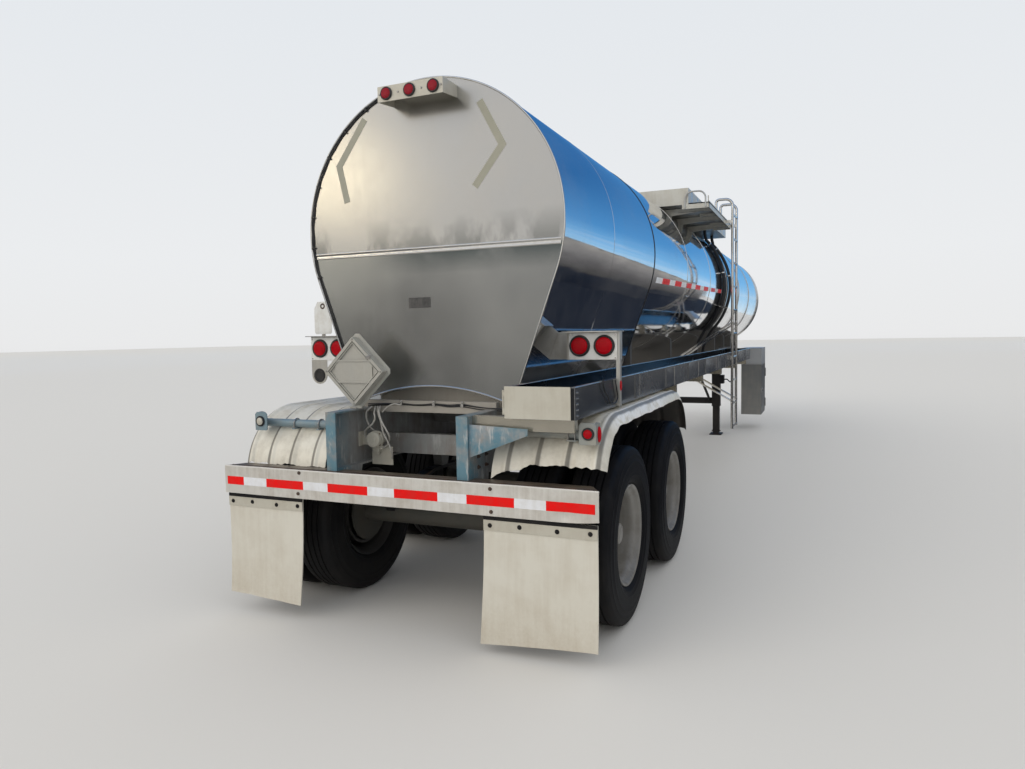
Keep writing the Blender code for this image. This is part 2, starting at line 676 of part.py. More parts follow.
def mud_flaps():
    under = GUARD_BOTTOM - SEAT
    for low, high, name in FLAP_X:
        front, wall = FLAP_Y - SEAT, BAR_THICK
        bar = [(front, under - BAR_HEIGHT), (front - wall, under - BAR_HEIGHT), (front - wall, under),
               (front + 0.060, under), (front + 0.060, under - wall), (front, under - wall)]
        bar = [(fore(y), z) for y, z in bar]
        place(f"flap_bar_{name}", prism(bar, "X", low, high), "dull_aluminium")
        top = under - wall - SEAT
        drops = ((0, 0), (0.35, 0.004), (0.7, 0.000), (0.9, -0.006), (1, -0.014))
        back = [(fore(FLAP_Y + lean), top - (top - FLAP_BOTTOM) * share) for share, lean in drops]
        ahead = [(y + FLAP_THICK, z) for y, z in back[::-1]]
        place(f"mud_flap_{name}", prism(back + ahead, "X", low, high), "flap_white")


# Fenders

def fender_path():
    """Points along the sheet's underside with their outward direction, from rear to front."""
    cy, cz = FENDER_CENTRE
    lowest = math.degrees(math.asin((FENDER_EDGE_Z - cz) / FENDER_RADIUS))
    rear = [math.radians(180 - lowest - (90 - lowest) * i / 6) for i in range(7)]
    path = [(fore(cy) + FENDER_RADIUS * math.cos(a), cz + FENDER_RADIUS * math.sin(a),
             math.cos(a), math.sin(a)) for a in rear]
    middle = fore((AXLES[0][1] + AXLES[1][1]) / 2)
    return path + [(2 * middle - y, z, -ny, nz) for y, z, ny, nz in path[::-1]]


def fender_section():
    """Ribbed sheet across its width, as (x, outward) points."""
    low, high = FENDER_X
    pitch = (high - low) / FENDER_RIBS
    top = [(low, FENDER_SHEET)]
    for i in range(FENDER_RIBS):
        middle = low + pitch * (i + 0.5)
        top += [(middle - RIB_WIDTH / 2, FENDER_SHEET), (middle, FENDER_SHEET + RIB_HEIGHT),
                (middle + RIB_WIDTH / 2, FENDER_SHEET)]
    top.append((high, FENDER_SHEET))
    return top + [(high, 0), (low, 0)]


def fenders():
    for side, name in ((1, "right"), (-1, "left")):
        shape = swept(fender_section(), fender_path())
        place(f"fender_{name}", sided([shape], side)[0], "dull_aluminium")
        reach = FENDER_RADIUS + FENDER_SHEET + RIB_HEIGHT + SEAT + ARM_RADIUS
        drop = ARM_Z - FENDER_CENTRE[1]
        y = fore(FENDER_CENTRE[0] - math.sqrt(reach ** 2 - drop ** 2))
        arm = rod("X", (0, y, ARM_Z), ARM_RADIUS, RAIL_OUTER + SEAT, ARM_END_X)
        half = TAB_WIDTH / 2
        middle = y - 0.006 - half
        tab = [(middle + half, ARM_Z - 0.030), *arc((middle, ARM_Z + 0.030), half, 0, 180, 6),
               (middle - half, ARM_Z - 0.030)]
        plate = prism(tab, "X", ARM_END_X - 0.012, ARM_END_X + 0.004)
        joined(f"fender_arm_{name}", sided([arm, plate], side), "galvanised")


# Hose tray

def hose_tray():
    """An open-topped trough along the right side: a floor on arms, two lipped walls and two ends."""
    low, high = TRAY_X
    wall, bottom, top = TRAY_WALL, RAIL_TOP, TRAY_TOP
    inside_y = (fore(TRAY_Y[0] + wall) + SEAT, fore(TRAY_Y[1] - wall) - SEAT)
    shapes = [box((low + wall + SEAT, high - wall - SEAT), inside_y, (bottom - 2 * SEAT, bottom + wall))]
    for at in TRAY_ARMS:
        shapes.append(box((RAIL_OUTER + SEAT, high - 0.030), (fore(at), fore(at + 0.050)),
                          (bottom - 0.075, bottom - SEAT)))
    joined("hose_tray", shapes, "brushed_stainless")
    inner = [(low, bottom), (low + wall, bottom), (low + wall, top - wall), (low + TRAY_LIP, top - wall),
             (low + TRAY_LIP, top), (low, top)]
    place("tray_wall_inner", prism(inner, "Y", *inside_y), "brushed_stainless")
    outer = [(low + high - x, z) for x, z in inner]
    shapes = [prism(outer, "Y", *inside_y)]
    posts = 9
    pitch = (TRAY_Y[1] - TRAY_Y[0]) / posts
    for i in range(1, posts):
        y = fore(TRAY_Y[0] + pitch * i + 0.25)
        shapes.append(box((high - wall / 2, high + 0.006), (y, y + 0.030), (bottom + 0.01, top - 0.01)))
    joined("tray_wall_outer", shapes, "brushed_stainless")
    for name, at in (("rear", TRAY_Y[0]), ("front", TRAY_Y[1] - wall)):
        place(f"tray_end_{name}", box((low, high), (fore(at), fore(at + wall)), (bottom, top)),
              "dull_aluminium")


# Rear lamps, placard holder and relay valve

def roof_lamp_bar():
    """A hood on the rear head, open below, with three round lamps in its face."""
    wall = 0.005
    low, high = ROOF_BAR_Z
    hood = [(fore(ROOF_BAR_Y), low), (fore(ROOF_BAR_Y), high), (fore(HEAD_AT) - SEAT, high),
            (fore(HEAD_AT) - SEAT, high - wall), (fore(ROOF_BAR_Y) + wall, high - wall),
            (fore(ROOF_BAR_Y) + wall, low)]
    shapes = [prism(hood, "X", -ROOF_BAR_X, ROOF_BAR_X)]
    end = [(fore(ROOF_BAR_Y), low), (fore(ROOF_BAR_Y), high), (fore(HEAD_AT) - SEAT, high),
           (fore(HEAD_AT) - SEAT, low + 0.02)]
    for x in (-ROOF_BAR_X, ROOF_BAR_X - wall):
        shapes.append(prism(end, "X", x, x + wall))
    middle = (low + high) / 2
    for i in (-1, 0, 1):
        shapes.append(turned([(-0.014, 0), (-0.010, 0.030), (0.002, 0.037), (0.004, 0)], "Y",
                             (0.158 * i, fore(ROOF_BAR_Y), middle), 14))
    return joined("roof_lamp_bar", shapes, "dull_aluminium")


def lamp_boxes():
    """Boxes beside the skirt, each with two lamps, a visor, and the plate that holds it."""
    low_z, high_z = LAMP_BOX_Z
    rear, front = fore(LAMP_BOX_Y[0]), fore(LAMP_BOX_Y[1])
    clear = 2 * SEAT
    slope = [(SKIRT_LEAVES_X - (SKIRT_LEAVES_Z - z) * TAN_SKIRT + clear, z) for z in LAMP_BOX_Z]
    for side, name in ((1, "right"), (-1, "left")):
        out = LEFT_BOX_OUT if side < 0 else 0
        low_x, high_x = LAMP_BOX_X[0] + out, LAMP_BOX_X[1] + out
        inner = low_x + 0.01
        plate = [slope[0], (inner, low_z), (inner, high_z), slope[1]]
        shapes = [box((low_x, high_x), (rear, front), LAMP_BOX_Z),
                  prism(plate, "Y", front - 0.040, front - 0.034),
                  box((low_x - 0.020, high_x + 0.012), (rear - 0.050, front),
                      (high_z - 0.001, high_z + 0.004))]
        if side > 0:
            shapes.append(box((TRAY_X[1] + SEAT, high_x + 0.012), (rear + 0.005, rear + 0.045),
                              (RAIL_TOP, high_z + 0.002)))
        else:
            half, length = TONGUE
            middle = high_x - half
            tongue = [(high_x, low_z + 0.004), (middle - half, low_z + 0.004),
                      *arc((middle, low_z - length + half), half, 180, 360, 8)]
            shapes.append(prism(tongue, "Y", rear + 0.001, rear + 0.007))
        joined(f"lamp_box_{name}", sided(shapes, side), "dull_aluminium")
        middle = (low_x + high_x) / 2
        for which, offset in (("inner", -0.5), ("outer", 0.5)):
            centre = (middle + offset * TAIL_LAMP_SPACING, rear - SEAT, (low_z + high_z) / 2)
            lamp = turned([(-0.020, 0), (-0.013, 0.052), (-0.010, TAIL_LAMP_RADIUS),
                           (0, TAIL_LAMP_RADIUS), (0, 0)], "Y", centre, 16)
            place(f"tail_lamp_{name}_{which}", sided([lamp], side)[0], "red_lens")


def placard_holder():
    """A square frame stood on its corner, on a foot on the left rail's end."""
    x, at, z = PLACARD
    y = fore(at)
    half = PLACARD_SIDE / math.sqrt(2)
    rim_width = 0.026

    def diamond(reach):
        return [(x + reach, z), (x, z + reach), (x - reach, z), (x, z - reach)]

    def rim(high, low, rear, front):
        outer, inner = diamond(high), diamond(low)
        return [prism([outer[i], outer[(i + 1) % 4], inner[(i + 1) % 4], inner[i]], "Y", rear, front)
                for i in range(4)]

    back = y + PLACARD_DEPTH
    shapes = [prism(diamond(half + PLACARD_FLANGE), "Y", back - 0.006, back),
              prism(diamond(half - 0.002), "Y", y, back - 0.003)]
    shapes += rim(half, half - rim_width, y - 0.010, y + 0.004)
    shapes += rim(0.75 * half, 0.75 * half - 0.010, y - 0.010, y + 0.004)
    for bar in (-0.070, 0.060):
        reach = half - abs(bar) - rim_width / 2
        shapes.append(box((x - reach, x + reach), (y - 0.008, y + 0.004), (z + bar, z + bar + 0.012)))
    foot = sorted((-RAIL_OUTER, -RAIL_OUTER + RAIL_WIDTH))
    shapes.append(box((x - 0.025, x + 0.020), (back - 0.003, back + 0.006), (RAIL_TOP + SEAT, z)))
    shapes.append(box(foot, (back - 0.003, back + 0.060), (RAIL_TOP + SEAT, RAIL_TOP + 0.012)))
    return joined("placard_holder", shapes, "placard_aluminium")


def relay_valve():
    """Brake relay valve on a bracket on the left rail's web."""
    x, at, z = VALVE
    web = -(RAIL_OUTER - RAIL_WALL) + SEAT
    shapes = [turned([(-0.045, 0), (-0.045, 0.040), (-0.035, 0.050), (0.020, 0.050),
                      (0.035, 0.032), (0.070, 0.032), (0.070, 0)], "Y", (x, fore(at), z), 16),
              box((x - 0.020, x + 0.020), (fore(at) - 0.010, fore(at) + 0.030), (z - 0.080, z)),
              box((web, x), (fore(at) + 0.005, fore(at) + 0.013), (z - 0.040, z + 0.020)),
              box((web, web + 0.008), (fore(at) - 0.030, fore(at) + 0.050), (z - 0.045, z + 0.045))]
    return joined("relay_valve", shapes, "dull_aluminium")


# Landing legs and coupler

def landing_legs():
    y = fore(LEG_AT)
    half, inner, foot = LEG_TUBE / 2, LEG_INNER_TUBE / 2, FOOT_SIZE / 2
    x = RAIL_OUTER + SEAT + half
    for side, name in ((1, "right"), (-1, "left")):
        shapes = [box((x - half, x + half), (y - half, y + half), (LEG_SLEEVE_Z, RAIL_TOP)),
                  box((x - inner, x + inner), (y - inner, y + inner), (0.045, LEG_SLEEVE_Z + 0.010)),
                  box((x - foot + 0.03, x + foot - 0.03), (y - foot, y + foot), (0, FOOT_THICK)),
                  prism([(y - 0.095, FOOT_THICK - 0.005), (y + 0.095, FOOT_THICK - 0.005),
                         (y + 0.060, 0.075), (y - 0.060, 0.075)], "X", x - 0.045, x + 0.045)]
        if side > 0:
            crank_z = 0.930
            shapes.append(box((x + half - 0.010, x + half + 0.060), (y - 0.080, y + 0.080),
                              (crank_z - 0.070, crank_z + 0.070)))
            shapes.append(tube([(x + half + 0.050, y, crank_z), (x + half + 0.110, y, crank_z),
                                (x + half + 0.120, y + 0.280, crank_z - 0.060),
                                (x + half + 0.180, y + 0.285, crank_z - 0.060)], 0.011))
        joined(f"landing_leg_{name}", sided(shapes, side), "black_steel")
    shapes = [box((-RAIL_OUTER, RAIL_OUTER), (y - 0.030, y + 0.030), (0.520, 0.620))]
    for side in (-1, 1):
        low, high = side * (RAIL_OUTER - 0.040), side * (RAIL_OUTER - 0.070)
        shapes.append(tube([(low, y + 0.010, 0.570), (high, y - 1.000, 1.100)], 0.022, 1))
        shapes.append(box(sorted((side * (RAIL_OUTER - 0.005), side * (RAIL_OUTER - RAIL_WIDTH))),
                          (y - 1.080, y - 0.960), (1.070, RAIL_TOP - MID_RAIL_DEPTH - SEAT)))
    joined("landing_brace", shapes, "black_steel")


def coupler():
    """The plate that rests on a tractor's fifth wheel, with its kingpin."""
    low, high = fore(BARREL_FRONT - KINGPIN_SETBACK - PLATE_REACH), fore(COUPLER_RAIL_TO + 0.05)
    bottom, top = COUPLER_PLATE_Z, COUPLER_PLATE_Z + COUPLER_PLATE_THICK
    centre = (0, fore(BARREL_FRONT - KINGPIN_SETBACK), bottom)
    half = 0.520
    outline = [(-half, low), (half, low), (half, high - 0.25), (half - 0.18, high),
               (-half + 0.18, high), (-half, high - 0.25)]
    pin = [(0.002, 0), (0.002, 0.100), (-0.004, 0.100), (-0.010, KINGPIN_COLLAR),
           (-0.034, KINGPIN_COLLAR), (-0.036, KINGPIN_RADIUS), (-0.066, KINGPIN_RADIUS),
           (-0.068, KINGPIN_COLLAR), (-KINGPIN_LENGTH, KINGPIN_COLLAR), (-KINGPIN_LENGTH, 0)]
    shapes = [prism(outline, "Z", bottom, top), turned(pin, "Z", centre, 20)]
    return joined("coupler", shapes, "black_steel")


# Ladder

def ladder():
    """Two rails that bend over onto the platform, with rungs and wall brackets."""
    shapes = []
    bend, inboard = 0.120, WALK_X - 0.060
    for at in LADDER_Y:
        y = fore(at)
        top = arc((LADDER_X - bend, LADDER_TOP_Z), bend, 0, 90, 4)
        path = [(LADDER_X, LADDER_FOOT_Z), *top, (inboard, LADDER_TOP_Z + bend - 0.030),
                (inboard, DECK_Z + DECK_THICK + SEAT)]
        shapes.append(tube([(x, y, z) for x, z in path], LADDER_RADIUS))
        shapes.append(box((TRAY_X[1] + SEAT, LADDER_X), (y - 0.020, y + 0.020),
                          (TRAY_TOP - 0.090, TRAY_TOP - 0.040)))
        shapes.append(box((WALK_X + SEAT, LADDER_X), (y - 0.020, y + 0.020),
                          (DECK_Z - 0.045, DECK_Z - 0.005)))
        upper = [(LADDER_X, TRAY_TOP + BRACE_RISE), (BRACE_X, TRAY_TOP - 0.045),
                 (BRACE_X, RAIL_TOP + SEAT)]
        lower = [(LADDER_X, RAIL_TOP - BRACE_DROP), (RAIL_OUTER + 0.040, RAIL_TOP - 0.110),
                 (RAIL_OUTER + SEAT, RAIL_TOP - 0.110)]
        for brace in (upper, lower):
            shapes.append(tube([(x, y, z) for x, z in brace], BRACE_RADIUS))
    count = int((LADDER_TOP_Z - LADDER_FOOT_Z) / RUNG_PITCH)
    low, high = fore(LADDER_Y[0]), fore(LADDER_Y[1])
    for i in range(count + 1):
        z = LADDER_FOOT_Z + 0.020 + RUNG_PITCH * i
        shapes.append(tube([(LADDER_X, low, z), (LADDER_X, high, z)], RUNG_RADIUS))
    return joined("ladder", shapes, "mirror_stainless")


# Top platform

def walkway():
    """Side platform: a flanged deck on brackets that sit on the tank, with a hand loop."""
    low, high = fore(WALK_Y[0]), fore(WALK_Y[1])
    inner = DAM_X + SEAT
    top = DECK_Z + DECK_THICK
    back = fore(DAM_Y[0]) - SEAT
    lip = DECK_Z - 0.050
    shapes = [box((inner, WALK_X), (low, high), (DECK_Z, top)),
              box((WALK_X - 0.006, WALK_X), (low, high), (lip, top + 0.010)),
              box((LOOP_X[0] - 0.030, WALK_X), (low, back), (lip, top)),
              box((inner, WALK_X), (high - 0.006, high), (lip, top))]
    clear = TANK_RADIUS + SEAT
    for share in (0.12, 0.5, 0.88):
        y = low + (high - low) * share
        outline = [*round_section(clear, 12, 30), (inner, DECK_Z + 0.002),
                   (WALK_X - 0.003, DECK_Z + 0.002), (WALK_X - 0.003, DECK_Z - 0.040)]
        shapes.append(prism(outline, "Y", y, y + 0.010))
    bend, rise = 0.050, LOOP_TOP_Z - 0.050
    loop = [(LOOP_X[0], lip + 0.010), *arc((LOOP_X[0] + bend, rise), bend, 180, 90, 3),
            *arc((LOOP_X[1] - bend, rise), bend, 90, 0, 3), (LOOP_X[1], lip + 0.010)]
    shapes.append(tube([(x, low - 0.006, z) for x, z in loop], LOOP_RADIUS))
    return joined("walkway", shapes, "dull_aluminium")


def spill_dam():
    """Tray around the manway: four walls and a floor, open where the tank's crown comes through."""
    y = (fore(DAM_Y[0]), fore(DAM_Y[1]))
    block = box((-DAM_X, DAM_X), y, (DECK_Z, DAM_TOP))
    made = place("spill_dam", block, "dull_aluminium")
    inside = box((-DAM_X + DAM_WALL, DAM_X - DAM_WALL), (y[0] + DAM_WALL, y[1] - DAM_WALL),
                 (DECK_Z + DECK_THICK, DAM_TOP + 0.1))
    crown = turned([(y[0] - 0.1, 0), (y[0] - 0.1, TANK_RADIUS + SEAT),
                    (y[1] + 0.1, TANK_RADIUS + SEAT), (y[1] + 0.1, 0)], "Y",
                   (0, 0, TANK_Z), round(360 / TANK_STEP))
    return cut(made, [inside, crown], "dull_aluminium")


def manway():
    """The collar on the tank's crown, and the lid that turns up on a pin at its left."""
    y = fore(MANWAY_Y)
    wall, seat = 0.010, MANWAY_TOP
    base = TANK_Z + TANK_RADIUS - 0.060
    steps = 24
    ring = turned([(base, MANWAY_RADIUS - wall), (base, MANWAY_RADIUS), (seat - 0.012, MANWAY_RADIUS),
                   (seat - 0.012, MANWAY_RADIUS + 0.020), (seat, MANWAY_RADIUS + 0.020),
                   (seat, MANWAY_RADIUS - wall)], "Z", (0, y, 0), steps)
    ears = []
    for side in (-1, 1):
        middle = y + side * (LID_LUG / 2 + 0.002 + 0.005)
        outline = [(LID_HINGE_X - 0.016, seat - 0.040), (-MANWAY_RADIUS - 0.005, seat - 0.040),
                   (-MANWAY_RADIUS - 0.005, seat - 0.010), (LID_HINGE_X + 0.016, LID_HINGE_Z),
                   *arc((LID_HINGE_X, LID_HINGE_Z), 0.016, 30, 180, 5)]
        ears.append(prism(outline, "Y", middle - 0.005, middle + 0.005))
    bar = rod("Y", (LID_HINGE_X, y, LID_HINGE_Z), LID_PIN_RADIUS, -0.030, 0.030)
    collar = joined("manway_collar", [ring, *ears, bar], "brushed_stainless")
    crown = turned([(y - 0.5, 0), (y - 0.5, TANK_RADIUS + SEAT), (y + 0.5, TANK_RADIUS + SEAT),
                    (y + 0.5, 0)], "Y", (0, 0, TANK_Z), round(360 / TANK_STEP))
    cut(collar, [crown], "brushed_stainless")
    under = seat + SEAT
    edge = MANWAY_RADIUS + 0.024
    dome = turned([(under, 0), (under, edge), (under + 0.014, edge), (under + 0.030, edge - 0.060),
                   (under + 0.048, edge - 0.160), (under + 0.054, 0)], "Z", (0, y, 0), steps)
    lug = [(LID_HINGE_X, LID_HINGE_Z - 0.018), (-edge + 0.030, under + 0.002),
           (-edge + 0.050, under + 0.016), (LID_HINGE_X, LID_HINGE_Z + 0.018),
           *arc((LID_HINGE_X, LID_HINGE_Z), 0.018, 120, 240, 4)]
    ear = prism(lug, "Y", y - LID_LUG / 2, y + LID_LUG / 2)
    lid = joined("manway_lid", [dome, ear], "brushed_stainless")
    bore = rod("Y", (LID_HINGE_X, y, LID_HINGE_Z), LID_PIN_RADIUS + 0.001, -0.1, 0.1)
    cut(lid, [bore], "brushed_stainless")


def relief_valve():
    """Vent on the tank's crown, inside the dam."""
    base = TANK_Z + TANK_RADIUS + SEAT
    profile = [(base, 0), (base, 0.055), (base + 0.012, 0.055), (base + 0.012, 0.038),
               (base + 0.070, 0.038), (base + 0.076, 0.060), (base + 0.105, 0.052),
               (base + 0.118, 0)]
    return place("relief_valve", turned(profile, "Z", (0, fore(MANWAY_Y - 0.60), 0), 16),
                 "dull_aluminium")


def hose(name, points, y, radius, finish):
    """A round cord along (x, z) points at one distance along the trailer."""
    curve = bpy.data.curves.new(name, "CURVE")
    curve.dimensions = "3D"
    curve.bevel_depth = radius
    curve.bevel_resolution = 2
    curve.use_fill_caps = True
    spline = curve.splines.new("POLY")
    spline.points.add(len(points) - 1)
    for point, (x, z) in zip(spline.points, points):
        point.co = (x, y, z, 1.0)
    curve.materials.append(MATERIALS[finish])
    made = bpy.data.objects.new(name, curve)
    bpy.context.scene.collection.objects.link(made)
    return made


def drain_hoses():
    """Rubber hoses from the dam's floor round the tank's right side, and down past the rail."""
    reach = TANK_RADIUS + HOSE_RADIUS + HOSE_STANDS_OFF
    beside = RAIL_OUTER + HOSE_RADIUS + HOSE_STANDS_OFF
    for name, at in DRAIN_HOSES:
        around = arc((0, TANK_Z), reach, 43, -47, 16)
        start = around[0][0] - HOSE_RADIUS
        points = [(start, DECK_Z - SEAT), (start, DECK_Z - 0.060), *around,
                  (0.560, 1.600), (0.515, 1.460), (beside, 1.320), (beside, 1.080)]
        hose(f"drain_hose_{name}", points, fore(at), HOSE_RADIUS, "black_rubber")


# Locker

def locker():
    """A hollow sheet locker beside the frame, whose door turns on hinges at its front edge."""
    x, y, z = LOCKER_X, (fore(LOCKER_Y[0]), fore(LOCKER_Y[1])), LOCKER_Z
    gap = DOOR_CLEARANCE
    frame_y = (y[0] + DOOR_MARGIN, y[1] - DOOR_MARGIN)
    door_y = (frame_y[0] + gap, frame_y[1] - gap)
    door_z = (DOOR_Z[0] + gap, DOOR_Z[1] - gap)
    inside = box((x[0] + LOCKER_WALL, x[1] + 0.1), (frame_y[0] + 2 * gap, frame_y[1] - 2 * gap),
                 (DOOR_Z[0] + 2 * gap, DOOR_Z[1] - 2 * gap))
    rebate = box((x[1] - DOOR_THICK - gap, x[1] + 0.1), frame_y, DOOR_Z)
    groove = box((x[0] - 0.1, x[1] + 0.1), (y[0] - 0.1, y[0] + 0.012), GROOVE_Z)
    body = cut(place("locker", box(x, y, z), "grey_panel"), [inside, rebate, groove], "grey_panel")
    shell = bmesh.new()
    shell.from_mesh(body.data)
    bpy.data.objects.remove(body)
    axis_x, axis_y = x[1] + KNUCKLE_RADIUS + 0.001, frame_y[1] - gap / 2
    fixed, moving = [shell], [box((x[1] - DOOR_THICK, x[1]), door_y, door_z)]
    for middle in (DOOR_Z[0] + 0.120, DOOR_Z[1] - 0.120):
        for low, high in ((-0.075, -0.025), (0.025, 0.075)):
            span = (middle + low, middle + high)
            fixed.append(rod("Z", (axis_x, axis_y, 0), KNUCKLE_RADIUS, *span, steps=10))
            fixed.append(box((x[1] - 0.003, axis_x), (axis_y + 0.003, axis_y + 0.030), span))
        span = (middle - 0.025 + SEAT, middle + 0.025 - SEAT)
        moving.append(rod("Z", (axis_x, axis_y, 0), KNUCKLE_RADIUS, *span, steps=10))
        moving.append(box((x[1] - 0.003, axis_x), (axis_y - 0.030, axis_y - 0.003), span))
    joined("locker", fixed, "grey_panel")
    joined("locker_door", moving, "grey_panel")


# Under the tank

def outlet():
    """Sump, valve and pipe under the tank, with a cap on the pipe's end."""
    y = fore(OUTLET_AT)
    top = TANK_Z - TANK_RADIUS - SEAT
    sump = turned([(top, 0), (top, 0.110), (top - 0.020, 0.110), (OUTLET_Z + 0.060, 0.062),
                   (OUTLET_Z + 0.060, 0.090), (OUTLET_Z + 0.040, 0.090), (OUTLET_Z - 0.060, 0.060),
                   (OUTLET_Z - 0.060, 0)], "Z", (0, y, 0), 14)
    pipe = turned([(-0.560, 0), (-0.560, 0.058), (-0.500, 0.058), (-0.500, 0.040), (-0.160, 0.040),
                   (-0.160, 0.062), (-0.130, 0.062), (-0.130, 0.045), (0, 0.045), (0, 0)], "Y",
                  (0, y, OUTLET_Z - 0.010), 10)
    return joined("outlet_valve", [sump, pipe], "brushed_stainless")


def reservoir():
    """Air reservoir under a crossmember, held by two straps."""
    top = CROSSMEMBERS[4][2] - SEAT
    strap, width = RESERVOIR_RADIUS + 0.004, 0.030
    centre = (0, fore(RESERVOIR_AT), top - strap)
    end, straps = RESERVOIR_HALF, []
    for x in (-0.180, 0.150):
        straps += [(x, RESERVOIR_RADIUS), (x, strap), (x + width, strap), (x + width, RESERVOIR_RADIUS)]
    profile = [(-end, 0), (-end + 0.012, 0.075), (-end + 0.045, RESERVOIR_RADIUS), *straps,
               (end - 0.045, RESERVOIR_RADIUS), (end - 0.012, 0.075), (end, 0)]
    return place("air_reservoir", turned(profile, "X", centre, 14), "black_steel")


# Wire round the rear head

def head_wire():
    """The lamp bar's wire, clipped along the head's left edge down to the frame."""
    edge = TANK_RADIUS - 0.016
    around = arc((0, TANK_Z), edge, 112, 180 + SKIRT_ANGLE, 16)
    x, z = around[-1]
    down = [(x + TAN_SKIRT * drop, z - drop) for drop in (0.35, 0.70)]
    level = ROOF_BAR_Z[1] - 0.010
    points = [(-ROOF_BAR_X - SEAT, level), (-ROOF_BAR_X - 0.050, level), *around, *down]
    y = fore(HEAD_AT) - SEAT - HEAD_WIRE_RADIUS
    hose("head_wire", points, y, HEAD_WIRE_RADIUS, "black_rubber")


for old in list(bpy.data.objects):
    bpy.data.objects.remove(old)
MATERIALS = {name: material(name, *values) for name, values in FINISHES.items()}

tank()
frame()
guard()
for axle_name, axle_at in AXLES:
    axle(axle_name, axle_at)
wheels()
springs()
mud_flaps()
fenders()
hose_tray()
roof_lamp_bar()
lamp_boxes()
placard_holder()
relay_valve()
landing_legs()
coupler()
walkway()
ladder()
spill_dam()
manway()
relief_valve()
drain_hoses()
locker()
outlet()
reservoir()
head_wire()
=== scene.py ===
# %% [markdown]
# # A tanker semi-trailer, dressed on its frame
# The imported solids give every place and size. This lesson puts the fine surfaces over them: rolled
# steel, worn paint, rubber and glass. The first cell loads the frame, and notes its box before
# anything is added.

# %% Load the frame
import math

import bmesh
import bpy
from mathutils import Matrix, Vector, noise


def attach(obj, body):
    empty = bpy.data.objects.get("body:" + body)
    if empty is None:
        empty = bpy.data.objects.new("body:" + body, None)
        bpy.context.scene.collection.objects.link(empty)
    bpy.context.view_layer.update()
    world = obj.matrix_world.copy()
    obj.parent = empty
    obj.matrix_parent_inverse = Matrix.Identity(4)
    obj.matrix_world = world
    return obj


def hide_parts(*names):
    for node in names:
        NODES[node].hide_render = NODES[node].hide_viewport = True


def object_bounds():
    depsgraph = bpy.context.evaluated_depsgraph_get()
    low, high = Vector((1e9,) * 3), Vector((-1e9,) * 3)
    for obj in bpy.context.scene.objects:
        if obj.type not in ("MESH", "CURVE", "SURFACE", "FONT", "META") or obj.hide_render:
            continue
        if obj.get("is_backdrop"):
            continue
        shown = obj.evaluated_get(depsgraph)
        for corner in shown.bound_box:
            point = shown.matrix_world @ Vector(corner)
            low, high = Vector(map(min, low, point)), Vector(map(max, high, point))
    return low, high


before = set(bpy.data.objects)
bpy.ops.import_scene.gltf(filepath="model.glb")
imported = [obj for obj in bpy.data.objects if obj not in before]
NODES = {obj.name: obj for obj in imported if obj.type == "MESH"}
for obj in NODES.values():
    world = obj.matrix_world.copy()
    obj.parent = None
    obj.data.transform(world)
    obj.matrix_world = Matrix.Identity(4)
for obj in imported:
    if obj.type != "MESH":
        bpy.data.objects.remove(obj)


def plain_box():
    """The whole object's box as plain lists of numbers."""
    return [[float(v) for v in corner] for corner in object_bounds()]


CAD_BOX = plain_box()
REAR = CAD_BOX[0][1]


def fore(distance):
    """Y of a place given by its distance forward of the rear guard's face."""
    return REAR + distance


# %% [markdown]
# ## Camera
# The photograph was taken at head height, a few steps behind the trailer and to its right, with a
# wide lens. The camera's place and turn were worked out from edges whose sizes are known: the rear
# guard, the tyres and the round head. Its axes are given as three vectors, which need no angles.

# %% Camera
SENSOR = 36.0
FOCAL_PIXELS = 730.9      # focal length in pixels of a picture 1025 pixels wide
PICTURE_WIDTH = 1025
view_data = bpy.data.cameras.new("view")
view_data.sensor_width = SENSOR
view_data.lens = SENSOR * FOCAL_PIXELS / PICTURE_WIDTH
view_data.clip_end = 400
view = bpy.data.objects.new("view", view_data)
bpy.context.scene.collection.objects.link(view)
right, up = Vector((0.9181, 0.3960, -0.0164)), Vector((-0.0114, 0.0676, 0.9977))
ahead = Vector((-0.3962, 0.9158, -0.0666))
view.matrix_world = Matrix.Translation((2.2593, fore(-3.4598), 1.7139)) @ Matrix((right, up,
    -ahead)).transposed().to_4x4()
bpy.context.scene.camera = view
print("camera: lens", round(view_data.lens, 2), "mm")

# %% [markdown]
# ## Studio
# Polished steel shows what stands round it more than its own colour, so the studio is planned as for
# chrome. The camera sees a pale floor and a pale backdrop, and the light is neutral. What the steel
# mirrors stands round it as sheets that only reflections see: a blue dome, warm behind the
# photographer, rows of dull tanks on both sides, and darker ground.

